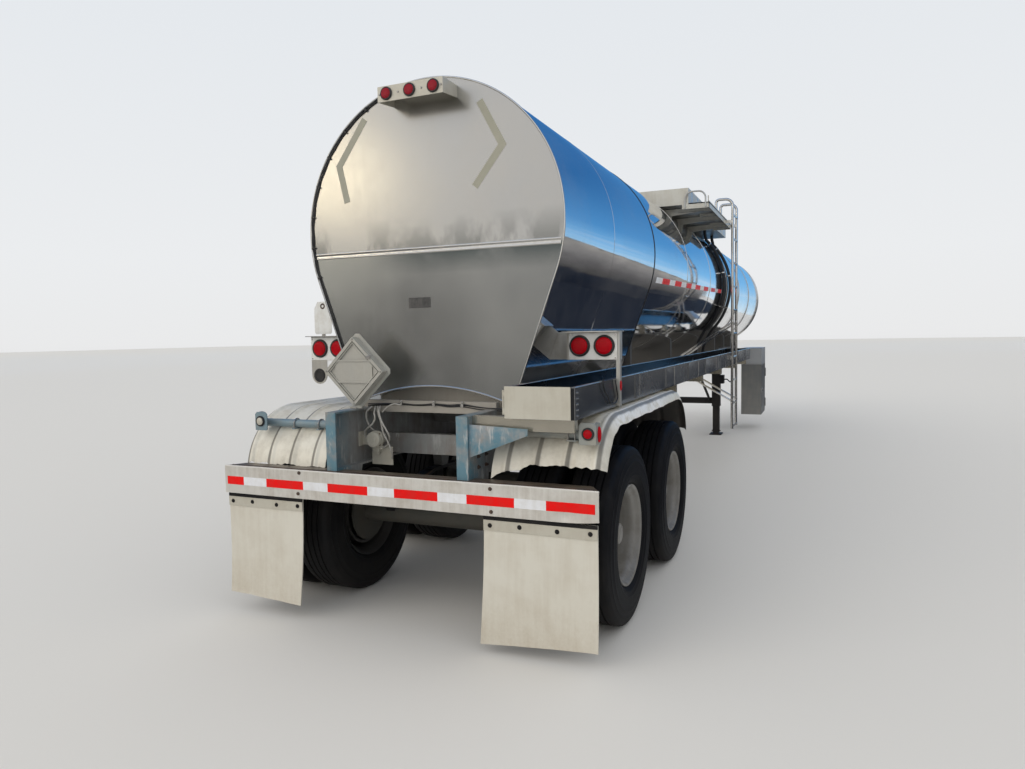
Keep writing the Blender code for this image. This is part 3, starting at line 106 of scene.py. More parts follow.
# %% Studio
class Graph:
    """Adds a node in one call: plain values set its sockets, and sockets are linked to them."""

    def __init__(self, tree):
        self.tree = tree

    def add(self, kind, inputs=None, output=0, **settings):
        node = self.tree.nodes.new(kind)
        for name, value in settings.items():
            setattr(node, name, value)
        for name, value in (inputs or {}).items():
            if isinstance(value, bpy.types.NodeSocket):
                self.tree.links.new(value, node.inputs[name])
            else:
                node.inputs[name].default_value = value
        return node.outputs[output]

    def maths(self, operation, a, b=0.0):
        return self.add("ShaderNodeMath", {0: a, 1: b}, operation=operation)

    def ranged(self, value, low, high, to_low=0.0, to_high=1.0):
        return self.add("ShaderNodeMapRange", {"Value": value, "From Min": low, "From Max": high,
            "To Min": to_low, "To Max": to_high})

    def mixed(self, factor, a, b):
        return self.add("ShaderNodeMix", {0: factor, 6: a, 7: b}, 2, data_type="RGBA")

    def times(self, *values):
        product = values[0]
        for value in values[1:]:
            product = self.maths("MULTIPLY", product, value)
        return product

    def over(self, colour, new, *masks):
        """The colour with a new one laid over it where all masks are 1."""
        return self.mixed(self.times(*masks), colour, (*new, 1))

    def here(self, scale=(1, 1, 1)):
        coordinates = self.add("ShaderNodeTexCoord", output=3)
        return self.add("ShaderNodeMapping", {"Vector": coordinates, "Scale": scale})

    def part(self, index, place=None):
        """One of a place's three numbers: 0 across, 1 along, 2 up."""
        place = place if place is not None else self.add("ShaderNodeTexCoord", output=3)
        return self.add("ShaderNodeSeparateXYZ", {0: place}, index)

    def cloud(self, scale, detail=4.0, rough=0.55, stretch=(1, 1, 1), vector=None):
        place = vector if vector is not None else self.here(stretch)
        return self.add("ShaderNodeTexNoise", {"Vector": place, "Scale": scale, "Detail": detail,
            "Roughness": rough})

    def ramp(self, value, stops):
        node = self.tree.nodes.new("ShaderNodeValToRGB")
        while len(node.color_ramp.elements) < len(stops):
            node.color_ramp.elements.new(0.5)
        for element, (at, colour) in zip(node.color_ramp.elements, stops):
            element.position = at
            element.color = (*colour, 1)
        self.tree.links.new(value, node.inputs[0])
        return node.outputs[0]


world = bpy.data.worlds.new("studio")
bpy.context.scene.world = world
world.use_nodes = True
for node in list(world.node_tree.nodes):
    world.node_tree.nodes.remove(node)
g = Graph(world.node_tree)
up = g.ranged(g.part(2, g.add("ShaderNodeTexCoord")), -0.1, 0.9)
pale = g.ramp(up, ((0.0, (0.72, 0.72, 0.71)), (0.10, (0.82, 0.825, 0.83)), (0.20, (0.83, 0.845, 0.86)),
    (1.0, (0.70, 0.76, 0.83))))
rays = [g.add("ShaderNodeLightPath", output=index) for index in (0, 3, 6)]
direct = g.maths("MAXIMUM", g.maths("MAXIMUM", rays[0], rays[1]), rays[2])
light = g.add("ShaderNodeBackground", {"Color": (0.97, 0.985, 1.0, 1), "Strength": 0.80})
shown = g.add("ShaderNodeBackground", {"Color": pale})
chosen = g.add("ShaderNodeMixShader", {0: direct, 1: light, 2: shown})
world.node_tree.links.new(chosen, world.node_tree.nodes.new("ShaderNodeOutputWorld").inputs["Surface"])

key_data = bpy.data.lights.new("key", "SUN")
key_data.energy = 1.0
key_data.angle = math.radians(56)
key_data.color = (1.0, 0.90, 0.76)
key = bpy.data.objects.new("key", key_data)
bpy.context.scene.collection.objects.link(key)
key.rotation_euler = Vector((-0.50, -0.78, 0.37)).to_track_quat("Z", "Y").to_euler()


def stage_mesh(name, corners, colour):
    """A flat sheet of the studio."""
    mesh = bpy.data.meshes.new(name)
    mesh.from_pydata(corners, [], [list(range(len(corners)))])
    made = bpy.data.objects.new(name, mesh)
    bpy.context.scene.collection.objects.link(made)
    paint = bpy.data.materials.new(name)
    paint.use_nodes = True
    shader = paint.node_tree.nodes["Principled BSDF"]
    shader.inputs["Base Color"].default_value = (*colour, 1)
    shader.inputs["Roughness"].default_value = 0.9
    shader.inputs["Specular IOR Level"].default_value = 0.1
    mesh.materials.append(paint)
    made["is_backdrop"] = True
    return made


SPAN = 150.0
stage_mesh("floor", [(-SPAN, -SPAN, 0), (SPAN, -SPAN, 0), (SPAN, SPAN, 0), (-SPAN, SPAN, 0)],
    (0.74, 0.73, 0.71))


SHEETS = []


def reflected(name, corners, colour=None, paint=None):
    """A sheet that only reflections see. It shines by itself, in a colour or by its own nodes."""
    made = stage_mesh(name, corners, (0, 0, 0))
    tree = made.data.materials[0].node_tree
    shader = tree.nodes["Principled BSDF"]
    shader.inputs["Emission Strength"].default_value = 1.0
    if colour:
        shader.inputs["Emission Color"].default_value = (*colour, 1)
    else:
        tree.links.new(paint(Graph(tree)), shader.inputs["Emission Color"])
    for ray in ("camera", "diffuse", "shadow", "transmission", "volume_scatter"):
        setattr(made, f"visible_{ray}", False)
    SHEETS.append(name)
    return made


def sky_paint(g):
    """Blue that deepens upwards, with thin streaks, and a warm grey behind the photographer."""
    place = g.add("ShaderNodeVectorMath", {0: g.add("ShaderNodeTexCoord", output=3)}, operation="NORMALIZE")
    height = g.part(2, place)
    streaks = g.ranged(g.cloud(1.0, 5.0, 0.6, vector=g.add("ShaderNodeMapping",
        {"Vector": place, "Scale": (2.5, 2.5, 26.0)})), 0.50, 0.72)
    blue = g.ramp(height, SKY)
    low = g.maths("MULTIPLY", streaks, g.ranged(height, 0.22, 0.02, 0.0, 0.55))
    blue = g.mixed(low, blue, (0.78, 0.84, 0.90, 1))
    return g.mixed(g.ranged(g.part(1, place), 0.05, -0.45), blue, g.ramp(height, REAR_SKY))


def row_paint(g):
    """What stands beside the trailer: dull tanks above, dark wheels and shade below."""
    height = g.part(2)
    uneven = g.maths("MULTIPLY", g.maths("SUBTRACT", g.cloud(1.9, 5.0, 0.65, (1, 0.8, 1.2)), 0.5), 1.3)
    tanks = g.ramp(g.ranged(g.maths("ADD", height, uneven), 0.0, 2.75), ROW)
    return g.mixed(g.ranged(g.cloud(0.5, 2.0), 0.40, 0.62, 0.0, 0.35), tanks, (0.10, 0.10, 0.105, 1))


SKY = ((0.0, (0.68, 0.84, 0.96)), (0.045, (0.42, 0.69, 0.94)), (0.10, (0.20, 0.50, 0.86)),
    (0.19, (0.085, 0.31, 0.66)), (0.40, (0.032, 0.155, 0.41)), (1.0, (0.07, 0.20, 0.46)))
REAR_SKY = ((0.0, (0.50, 0.49, 0.47)), (0.10, (0.72, 0.71, 0.69)), (0.35, (0.66, 0.68, 0.71)),
    (1.0, (0.20, 0.30, 0.48)))
ROW = ((0.0, (0.008, 0.011, 0.020)), (0.205, (0.010, 0.015, 0.026)), (0.235, (0.055, 0.053, 0.052)),
    (0.50, (0.125, 0.12, 0.12)), (0.80, (0.28, 0.27, 0.265)), (0.94, (0.38, 0.365, 0.34)),
    (1.0, (0.22, 0.21, 0.195)))
bowl = bmesh.new()
bmesh.ops.create_uvsphere(bowl, u_segments=48, v_segments=24, radius=110.0)
bmesh.ops.delete(bowl, geom=[v for v in bowl.verts if v.co.z < -20], context="VERTS")
dome = reflected("sky_dome", [(0, 0, 0), (1, 0, 0), (0, 1, 0)], paint=sky_paint)
bowl.to_mesh(dome.data)
bowl.free()
for side, name in ((1, "right"), (-1, "left")):
    x = side * 4.6
    reflected(f"row_{name}", [(x, fore(-9), 0), (x, fore(40), 0), (x, fore(40), 2.75), (x, fore(-9), 2.75)],
        paint=row_paint)
    reflected(f"ground_{name}", [(side * 1.9, fore(1.0), 0.004), (side * 40, fore(1.0), 0.004),
        (side * 40, fore(60), 0.004), (side * 1.9, fore(60), 0.004)], (0.014, 0.017, 0.026))
reflected("ground_behind", [(-40, fore(-40), 0.004), (40, fore(-40), 0.004), (40, fore(-0.6), 0.004),
    (-40, fore(-0.6), 0.004)], (0.28, 0.28, 0.275))
reflected("warm_card", [(-9.0, fore(-8.7), 4.7), (-7.4, fore(-9.8), 4.7), (-7.4, fore(-9.8), 6.2),
    (-9.0, fore(-8.7), 6.2)], (4.4, 3.8, 2.7))
bpy.context.scene.view_settings.view_transform = "Standard"
print("studio: world, key lamp, floor and", len(SHEETS), "reflected sheets")

# %% [markdown]
# ## Shared surface effects
# Every outdoor surface here carries the same few things: dirt in blotches, dust that gathers low
# down, grain left by rolling or brushing, and sheets that are never quite flat. Each effect is one
# node group with named inputs, built once, so each finish below only chooses its own values.

# %% Surface effects
def effect(name, inputs, outputs):
    """An empty shader node group with named sockets, and its graph, inputs and output node."""
    tree = bpy.data.node_groups.new(name, "ShaderNodeTree")
    for label, kind, value in inputs:
        tree.interface.new_socket(name=label, in_out="INPUT", socket_type=kind).default_value = value
    for label, kind in outputs:
        tree.interface.new_socket(name=label, in_out="OUTPUT", socket_type=kind)
    source, sink = tree.nodes.new("NodeGroupInput"), tree.nodes.new("NodeGroupOutput")
    return tree, Graph(tree), source.outputs, sink.inputs


NUMBER, COLOUR, POINT = "NodeSocketFloat", "NodeSocketColor", "NodeSocketVector"


def weather_effect():
    """Blotches of dirt, and dust that thickens towards the ground."""
    tree, g, inp, out = effect("weather", [("Clean", COLOUR, (0.5, 0.5, 0.5, 1)),
        ("Dirt", COLOUR, (0.2, 0.16, 0.12, 1)), ("Amount", NUMBER, 0.5), ("Scale", NUMBER, 3.0),
        ("Dust Top", NUMBER, 1.0), ("Dust", NUMBER, 0.3), ("Drips", NUMBER, 0.35)],
        [("Color", COLOUR), ("Mask", NUMBER)])
    place = g.here()
    broad = g.add("ShaderNodeTexNoise", {"Vector": place, "Scale": inp["Scale"], "Detail": 6.0,
        "Roughness": 0.62})
    drips = g.cloud(1.0, 5.0, 0.6, (26, 26, 2.2))
    blotch = g.add("ShaderNodeMix", {0: inp["Drips"], 2: broad, 3: drips}, data_type="FLOAT")
    blotch = g.ranged(blotch, 0.44, 0.68)
    low = g.maths("MULTIPLY", g.ranged(g.part(2), inp["Dust Top"], 0.0), inp["Dust"])
    speckle = g.ranged(g.cloud(60.0, 3.0), 0.35, 0.7)
    dust = g.maths("MULTIPLY", low, g.maths("ADD", 0.55, g.maths("MULTIPLY", speckle, 0.45)))
    mask = g.maths("MINIMUM", g.maths("ADD", g.maths("MULTIPLY", blotch, inp["Amount"]), dust), 1.0)
    tree.links.new(g.mixed(mask, inp["Clean"], inp["Dirt"]), out["Color"])
    tree.links.new(mask, out["Mask"])
    return tree


def grain_effect():
    """Fine parallel lines left by rolling or brushing, as a height."""
    tree, g, inp, out = effect("grain", [("Stretch", POINT, (4, 4, 300)), ("Scratches", NUMBER, 0.4)],
        [("Height", NUMBER)])
    place = g.add("ShaderNodeMapping", {"Vector": g.add("ShaderNodeTexCoord", output=3),
        "Scale": inp["Stretch"]})
    fine = g.cloud(1.0, 3.0, 0.7, vector=place)
    cross = g.cloud(9.0, 6.0, 0.8, (2.2, 2.2, 7.0))
    lines = g.ranged(g.maths("ABSOLUTE", g.maths("SUBTRACT", cross, 0.5)), 0.0, 0.012, 0.0, 1.0)
    height = g.maths("ADD", fine, g.maths("MULTIPLY", lines, inp["Scratches"]))
    tree.links.new(height, out["Height"])
    return tree


def buckle_effect():
    """The slow waves of a thin sheet over its ribs, as a height."""
    tree, g, inp, out = effect("buckle", [("Stretch", POINT, (1, 1, 1)), ("Scale", NUMBER, 2.0)],
        [("Height", NUMBER)])
    place = g.add("ShaderNodeMapping", {"Vector": g.add("ShaderNodeTexCoord", output=3),
        "Scale": inp["Stretch"]})
    slow = g.add("ShaderNodeTexNoise", {"Vector": place, "Scale": inp["Scale"], "Detail": 1.5})
    tree.links.new(slow, out["Height"])
    return tree


EFFECTS = {"weather": weather_effect(), "grain": grain_effect(), "buckle": buckle_effect()}
print("effects:", ", ".join(EFFECTS))

# %% [markdown]
# ## Finishes
# Most finishes differ only in numbers: clean and dirty colour, how much dirt and dust, how metallic
# and how rough, and how deep the grain and the buckles are. One function builds them all from a
# table, and each row also names the record's material slot that it stands for.

# %% Finishes
SLOT, MATERIAL = {}, {}


def finish(name, slot, clean, dirt, rough, metal, amount=0.5, scale=3.0, dust=(0.9, 0.3), grain=None,
        buckle=None, depth=0.0, scratches=0.3, coat=0.0, change=None, drips=0.35, gloss=0.5):
    """A weathered surface. rough is (clean, dirty), grain and buckle are (stretch, strength)."""
    made = bpy.data.materials.new(name)
    made.use_nodes = True
    tree = made.node_tree
    g = Graph(tree)
    shader = tree.nodes["Principled BSDF"]
    weather = tree.nodes.new("ShaderNodeGroup")
    weather.node_tree = EFFECTS["weather"]
    values = {"Clean": (*clean, 1), "Dirt": (*dirt, 1), "Amount": amount, "Scale": scale, "Dust Top": dust[0],
        "Dust": dust[1], "Drips": drips}
    for label, value in values.items():
        weather.inputs[label].default_value = value
    colour, mask = weather.outputs["Color"], weather.outputs["Mask"]
    if change:
        colour = change(g, colour)
    tree.links.new(colour, shader.inputs["Base Color"])
    tree.links.new(g.ranged(mask, 0, 1, *rough), shader.inputs["Roughness"])
    if metal > 0:
        tree.links.new(g.ranged(mask, 0, 1, metal, metal * 0.35), shader.inputs["Metallic"])
    shader.inputs["Coat Weight"].default_value = coat
    shader.inputs["Specular IOR Level"].default_value = gloss
    normal = None
    for kind, setting in (("buckle", buckle), ("grain", grain)):
        if not setting:
            continue
        node = tree.nodes.new("ShaderNodeGroup")
        node.node_tree = EFFECTS[kind]
        node.inputs["Stretch"].default_value = setting[0]
        if kind == "grain":
            node.inputs["Scratches"].default_value = scratches
        else:
            node.inputs["Scale"].default_value = setting[2]
        bump = {"Height": node.outputs["Height"], "Strength": setting[1],
            "Distance": 0.01 if kind == "buckle" else 0.001}
        if normal is not None:
            bump["Normal"] = normal
        normal = g.add("ShaderNodeBump", bump)
    if depth:
        pits = {"Height": g.cloud(180.0, 4.0, 0.6), "Strength": depth, "Distance": 0.001}
        if normal is not None:
            pits["Normal"] = normal
        normal = g.add("ShaderNodeBump", pits)
    if normal is not None:
        tree.links.new(normal, shader.inputs["Normal"])
    made.diffuse_color = (*clean, 1)
    SLOT[name], MATERIAL[name] = slot, made
    return made


def painted_reflections_on_head(g, colour):
    """The head's lower sheet is duller than the upper one and darker still with a painted reflection of the
    dark ground; it also carries a painted dark band under the trim on the right and a paler painted patch at
    the lower left, while dark patches just above the trim are a painted reflection of trees. Both sheets have
    faint smudges.
    """
    height = g.part(2)
    smudge = g.ranged(g.cloud(1.9, 3.0, 0.5, (1, 1, 0.7)), 0.32, 0.72)
    # Lower sheet: a duller steel, made darker still as a painted reflection of the dark ground.
    below = g.mixed(smudge, (0.275, 0.28, 0.275, 1), (0.35, 0.352, 0.34, 1))
    # A dark blue-green band just under the trim, strongest on the right: a painted reflection.
    band = g.times(g.ranged(height, 2.10, 2.25), g.ranged(g.cloud(3.0, 3.0), 0.25, 0.5))
    # Paler towards the lower left: a painted reflection.
    below = g.over(below, (0.52, 0.53, 0.50), g.ranged(g.part(0), -0.15, -0.80, 0.0, 0.75))
    right = g.ranged(g.part(0), -0.45, -0.05, 0.10, 0.98)
    below = g.over(below, (0.085, 0.105, 0.105), band, right)
    bloom = g.ranged(g.cloud(1.1, 2.0, 0.5, (1.0, 1, 0.8)), 0.3, 0.75)
    above = g.over(colour, (0.56, 0.545, 0.51), bloom, 0.6)
    # Dark patches just above the trim: a painted reflection of trees.
    trees = g.ranged(g.cloud(3.4, 4.0, 0.6, (1, 1, 0.5)), 0.50, 0.60)
    above = g.over(above, (0.22, 0.225, 0.215), g.ranged(height, 2.46, 2.29), trees, 0.65)
    return g.mixed(g.ranged(height, 2.252, 2.248), above, below)


def blue_at_the_rear(g, colour):
    """Pale blue paint survives at the rear ends of the frame; further forward the frame is made much darker.
    """
    along, height = g.part(1), g.part(2)
    patch = g.ranged(g.cloud(7.0, 5.0, 0.65), 0.34, 0.54)
    blue = g.over(colour, (0.135, 0.260, 0.325), patch, g.ranged(along, fore(0.30), fore(0.10)))
    worn = g.ranged(g.cloud(9.0, 4.0, 0.7, (2.4, 2.4, 0.5)), 0.57, 0.66, 0.0, 0.75)
    blue = g.over(blue, (0.52, 0.53, 0.52), worn)
    blue = g.over(blue, (0.40, 0.37, 0.32), g.ranged(height, 1.235, 1.245),
        g.ranged(along, fore(0.43), fore(0.44)), 0.8)
    return g.over(blue, (0.075, 0.072, 0.07), g.ranged(along, fore(0.75), fore(1.6)), 0.8)


def torn_edge(g, colour):
    """The fender's outer edge is scraped bright where it was hit, and dirt lies along its ribs."""
    along = g.part(1)
    strip = g.ranged(g.maths("ABSOLUTE", g.part(0)), 1.12, 1.16)
    reach = g.times(g.ranged(along, fore(0.36), fore(0.50)), g.ranged(along, fore(1.95), fore(1.6)))
    patch = g.ranged(g.cloud(14.0, 5.0, 0.7), 0.36, 0.52)
    colour = g.over(colour, (0.88, 0.87, 0.84), strip, reach, patch)
    across = g.maths("FRACT", g.ranged(g.maths("ABSOLUTE", g.part(0)), 0.560, 1.2384, 0.0, 4.0))
    rib = g.ranged(g.maths("ABSOLUTE", g.maths("SUBTRACT", across, 0.56)), 0.085, 0.045, 0.0, 0.75)
    return g.over(colour, (0.11, 0.10, 0.085), rib)


def greyer_on_the_right(g, colour):
    """The right fender's pipe has lost most of its blue paint."""
    patch = g.ranged(g.cloud(6.0, 4.0), 0.35, 0.60, 0.45, 0.95)
    return g.over(colour, (0.34, 0.33, 0.29), g.ranged(g.part(0), -0.1, 0.1), patch)


def two_tone(g, colour):
    """The locker's top is lighter than the part below its groove."""
    return g.over(colour, (0.42, 0.43, 0.44), g.ranged(g.part(2), 1.135, 1.150))


def brown_behind(g, colour):
    """Wet gravel has stained the guard behind its face. The face's top edge is rubbed bright."""
    along, height = g.part(1), g.part(2)
    colour = g.over(colour, (0.86, 0.85, 0.82), g.ranged(height, 0.9255, 0.9315, 0.0, 0.8))
    patch = g.ranged(g.cloud(12.0, 5.0, 0.65), 0.30, 0.66)
    brown = g.mixed(patch, (0.085, 0.062, 0.046, 1), (0.17, 0.135, 0.10, 1))
    return g.mixed(g.ranged(along, fore(0.0085), fore(0.0110)), colour, brown)


def dark_behind(g, colour):
    """The wheels' inner parts, inboard of the outer dish, are made nearly black."""
    return g.over(colour, (0.022, 0.021, 0.020), g.ranged(g.maths("ABSOLUTE", g.part(0)), 0.905, 0.855, 0.0,
        0.92))


def painted_shade_under(g, colour):
    """Faces that look down are darkened in blotches: painted shade, for the shade under the platform and the
    dam.
    """
    facing = g.part(2, g.add("ShaderNodeTexCoord", output=1))
    patch = g.ranged(g.cloud(5.0, 5.0, 0.6), 0.30, 0.62, 0.60, 0.95)
    return g.over(colour, (0.060, 0.058, 0.054), g.ranged(facing, -0.55, -0.75), patch)


def dark_inside(g, colour):
    """The tray's floor and inner walls are made nearly black. Its underside is beige."""
    across, height = g.part(0), g.part(2)
    inside = g.times(g.ranged(across, 0.7030, 0.7036), g.ranged(across, 1.0868, 1.0862))
    level = g.times(g.ranged(height, 1.447, 1.442), g.ranged(height, 1.2806, 1.2812))
    colour = g.over(colour, (0.036, 0.038, 0.042), inside, level)
    return g.over(colour, (0.60, 0.56, 0.47), g.ranged(height, 1.2812, 1.2806))


finish("polished", "mirror_stainless", (0.80, 0.80, 0.805), (0.34, 0.32, 0.29), (0.045, 0.30), 1.0, 0.10, 1.6,
    (1.4, 0.05), buckle=((1.0, 0.55, 1.0), 0.55, 1.7), scratches=0.1)
finish("head", "brushed_stainless", (0.55, 0.545, 0.53), (0.50, 0.47, 0.42), (0.24, 0.33), 0.95, 0.30, 2.2,
    (1.6, 0.08), buckle=((1.0, 1.0, 1.0), 0.14, 1.0), change=painted_reflections_on_head, drips=0.15)
finish("bright_trim", "mirror_stainless", (0.78, 0.76, 0.72), (0.42, 0.39, 0.34), (0.16, 0.38), 1.0, 0.4, 6.0,
    (0.9, 0.1), grain=((3, 3, 200), 0.15))
finish("brushed", "brushed_stainless", (0.52, 0.51, 0.49), (0.22, 0.19, 0.15), (0.26, 0.55), 1.0, 0.55, 3.0,
    (1.2, 0.25), grain=((3, 3, 260), 0.22), buckle=((1, 0.4, 1), 0.25, 3.0))
finish("tray", "brushed_stainless", (0.30, 0.305, 0.31), (0.16, 0.145, 0.13), (0.22, 0.42), 0.95, 0.4, 1.6,
    (1.45, 0.15), buckle=((1, 0.35, 1), 0.35, 2.6), change=dark_inside, drips=0.08)
finish("cream", "dull_aluminium", (0.52, 0.50, 0.43), (0.36, 0.32, 0.25), (0.38, 0.6), 0.15, 0.5, 7.0,
    (1.6, 0.12), buckle=((1, 1, 1), 0.2, 6.0), depth=0.08)
# The deck finish carries painted shade on the faces that look down.
finish("deck", "dull_aluminium", (0.55, 0.54, 0.485), (0.36, 0.32, 0.25), (0.38, 0.6), 0.15, 0.5, 7.0,
    (1.6, 0.1), buckle=((1, 1, 1), 0.2, 6.0), depth=0.08, change=painted_shade_under)
finish("frame", "galvanised", (0.37, 0.38, 0.38), (0.19, 0.15, 0.115), (0.42, 0.72), 0.55, 0.75, 4.5,
    (1.3, 0.35), grain=((6, 6, 60), 0.1), depth=0.25, change=blue_at_the_rear)
finish("arm_blue", "galvanised", (0.19, 0.275, 0.32), (0.27, 0.255, 0.22), (0.42, 0.68), 0.2, 0.6, 9.0,
    (1.3, 0.15), depth=0.3, change=greyer_on_the_right)
finish("guard", "dull_aluminium", (0.70, 0.685, 0.645), (0.33, 0.29, 0.24), (0.30, 0.62), 0.35, 0.68, 5.0,
    (1.1, 0.12), grain=((2, 200, 200), 0.12), buckle=((1, 1, 1), 0.45, 7.0), scratches=0.9, depth=0.12,
    change=brown_behind)
finish("aluminium", "dull_aluminium", (0.60, 0.59, 0.55), (0.33, 0.29, 0.23), (0.36, 0.62), 0.75, 0.6, 5.0,
    (1.0, 0.2), grain=((30, 200, 30), 0.12), scratches=0.6, depth=0.12)
finish("fender", "dull_aluminium", (0.76, 0.73, 0.64), (0.36, 0.32, 0.25), (0.46, 0.72), 0.18, 0.6, 6.0,
    (1.2, 0.15), grain=((60, 4, 60), 0.10), buckle=((1, 1, 1), 0.4, 6.0), depth=0.2, change=torn_edge,
    drips=0.15)
finish("fender_under", "dull_aluminium", (0.075, 0.070, 0.064), (0.14, 0.12, 0.095), (0.7, 0.9), 0.1, 0.5,
    9.0, (1.2, 0.3), depth=0.3)
finish("black", "black_steel", (0.009, 0.009, 0.011), (0.036, 0.031, 0.026), (0.45, 0.8), 0.1, 0.55, 5.0,
    (0.8, 0.35), depth=0.35, gloss=0.25)
finish("dusty_steel", "black_steel", (0.062, 0.062, 0.053), (0.095, 0.083, 0.066), (0.6, 0.88), 0.05, 0.6,
    6.0, (0.8, 0.3), depth=0.35, gloss=0.3)
finish("rusty", "black_steel", (0.075, 0.052, 0.040), (0.17, 0.09, 0.05), (0.7, 0.92), 0.2, 0.9, 16.0,
    (0.8, 0.2), depth=0.6)
finish("rim", "white_rim", (0.235, 0.228, 0.21), (0.13, 0.108, 0.085), (0.36, 0.7), 0.0, 0.6, 8.0,
    (0.75, 0.4), depth=0.12, coat=0.1, change=dark_behind)
finish("tyre", "tyre_rubber", (0.006, 0.006, 0.007), (0.032, 0.028, 0.024), (0.60, 0.88), 0.0, 0.32, 7.0,
    (0.28, 0.45), grain=((40, 40, 40), 0.15), depth=0.3, gloss=0.2)
finish("flap", "flap_white", (0.62, 0.60, 0.53), (0.42, 0.365, 0.28), (0.45, 0.7), 0.0, 0.45, 4.0,
    (0.45, 0.5), buckle=((1, 1, 0.6), 0.5, 4.0), depth=0.06)
finish("rubber", "black_rubber", (0.016, 0.016, 0.017), (0.06, 0.055, 0.05), (0.38, 0.7), 0.0, 0.5, 8.0,
    (1.0, 0.3), depth=0.2)
finish("grey_hose", "black_rubber", (0.42, 0.41, 0.38), (0.18, 0.16, 0.13), (0.45, 0.7), 0.0, 0.7, 22.0,
    (1.0, 0.2), depth=0.15)
finish("placard", "placard_aluminium", (0.50, 0.495, 0.455), (0.33, 0.30, 0.25), (0.34, 0.6), 0.5, 0.45, 9.0,
    (1.2, 0.1), grain=((4, 4, 220), 0.12))
finish("locker", "grey_panel", (0.20, 0.205, 0.205), (0.33, 0.31, 0.27), (0.36, 0.7), 0.5, 0.5, 3.0,
    (0.9, 0.35), buckle=((1, 1, 0.4), 0.4, 3.0), change=two_tone)
finish("sealant", "black_rubber", (0.012, 0.012, 0.013), (0.05, 0.045, 0.04), (0.35, 0.6), 0.0, 0.3, 12.0,
    (0.9, 0.1), depth=0.2)
finish("sign_white", "placard_aluminium", (0.72, 0.73, 0.72), (0.48, 0.44, 0.37), (0.35, 0.6), 0.0, 0.5, 22.0,
    (1.2, 0.1), depth=0.05)
finish("dark_plate", "black_steel", (0.05, 0.05, 0.052), (0.22, 0.21, 0.19), (0.3, 0.5), 0.2, 0.5, 30.0,
    (1.2, 0.1))


def tape(name, colour, worn, rough=0.28):
    """Reflective tape: small prisms, with worn spots."""
    made = finish(name, "placard_aluminium", colour, worn, (rough, 0.6), 0.0, 0.42, 18.0, (1.1, 0.1),
        coat=0.0, gloss=0.12)
    g = Graph(made.node_tree)
    cells = g.add("ShaderNodeTexVoronoi", {"Vector": g.here(), "Scale": 260.0})
    bump = g.add("ShaderNodeBump", {"Height": cells, "Strength": 0.12, "Distance": 0.001})
    made.node_tree.links.new(bump, made.node_tree.nodes["Principled BSDF"].inputs["Normal"])
    return made


def lens(name, colour, rings):
    """A moulded lamp lens: deep colour and fine ridges."""
    made = finish(name, "red_lens", colour, (colour[0] * 0.5, 0.012, 0.012), (0.12, 0.35), 0.0, 0.35, 24.0,
        (0.5, 0.1), gloss=0.16)
    g = Graph(made.node_tree)
    shader = made.node_tree.nodes["Principled BSDF"]
    bands = g.add("ShaderNodeTexWave", {"Vector": g.here(), "Scale": rings, "Distortion": 0.0},
        bands_direction="X")
    bump = g.add("ShaderNodeBump", {"Height": bands, "Strength": 0.25, "Distance": 0.001})
    made.node_tree.links.new(bump, shader.inputs["Normal"])
    # The faint glow in the lens colour is painted light, not a lit lamp.
    shader.inputs["Emission Color"].default_value = (*colour, 1)
    shader.inputs["Emission Strength"].default_value = 0.04
    return made


tape("tape_red", (0.80, 0.006, 0.006), (0.42, 0.04, 0.03))
tape("tape_white", (0.74, 0.76, 0.80), (0.5, 0.48, 0.44))
tape("tape_grey", (0.33, 0.325, 0.265), (0.42, 0.40, 0.34), 0.55)
lens("lens", (0.40, 0.003, 0.009), 90.0)
lens("lens_dark", (0.27, 0.016, 0.026), 90.0)
print("finishes:", len(MATERIAL))

# %% [markdown]
# ## Shapes
# Sheet-metal work is mostly outlines carried along a line, turned rings and bent pipes, so a few
# helpers cover it. A hoop lays a small profile round the tank's outline, for seams, beads and bands.

# %% Shape helpers
def closed(bm, gap=1e-6):
    """The shape with doubles merged and faces turned outwards."""
    bmesh.ops.remove_doubles(bm, verts=bm.verts, dist=gap)
    bmesh.ops.recalc_face_normals(bm, faces=bm.faces)
    return bm


def lofted(rings, loop=False):
    """A skin over closed rings of places, capped at both ends or led round to its start."""
    bm = bmesh.new()
    rings = [[bm.verts.new(place) for place in ring] for ring in rings]
    if not loop:
        bm.faces.new(rings[0])
        bm.faces.new(rings[-1])
    for one, two in zip(rings, rings[1:] + (rings[:1] if loop else [])):
        for i in range(len(one)):
            j = (i + 1) % len(one)
            bm.faces.new((one[i], one[j], two[j], two[i]))
    return closed(bm)


def prism(outline, axis, low, high):
    """A closed outline carried along an axis. Its points are (y, z), (x, z) or (x, y)."""
    index = "XYZ".index(axis)
    return lofted([[(*point[:index], along, *point[index:]) for point in outline] for along in (low, high)])


def box(x, y, z):
    return prism([(x[0], z[0]), (x[1], z[0]), (x[1], z[1]), (x[0], z[1])], "Y", y[0], y[1])


def turned(profile, axis, centre, steps=48, loop=False):
    """A turned shape. The profile is (along, radius) points."""
    index = "XYZ".index(axis)
    bm = bmesh.new()
    rings = []
    for along, radius in profile:
        ring = []
        for i in range(steps if radius > 1e-7 else 1):
            angle = 2 * math.pi * i / steps
            place = [radius * math.cos(angle), radius * math.sin(angle)]
            place.insert(index, along)
            ring.append(bm.verts.new(Vector(centre) + Vector(place)))
        rings.append(ring)
    pairs = list(zip(rings, rings[1:]))
    if loop:
        pairs.append((rings[-1], rings[0]))
    for one, two in pairs:
        for i in range(steps):
            j = (i + 1) % steps
            corners = (one[i % len(one)], one[j % len(one)], two[j % len(two)], two[i % len(two)])
            face = list(dict.fromkeys(corners))
            if len(face) > 2:
                bm.faces.new(face)
    return closed(bm)


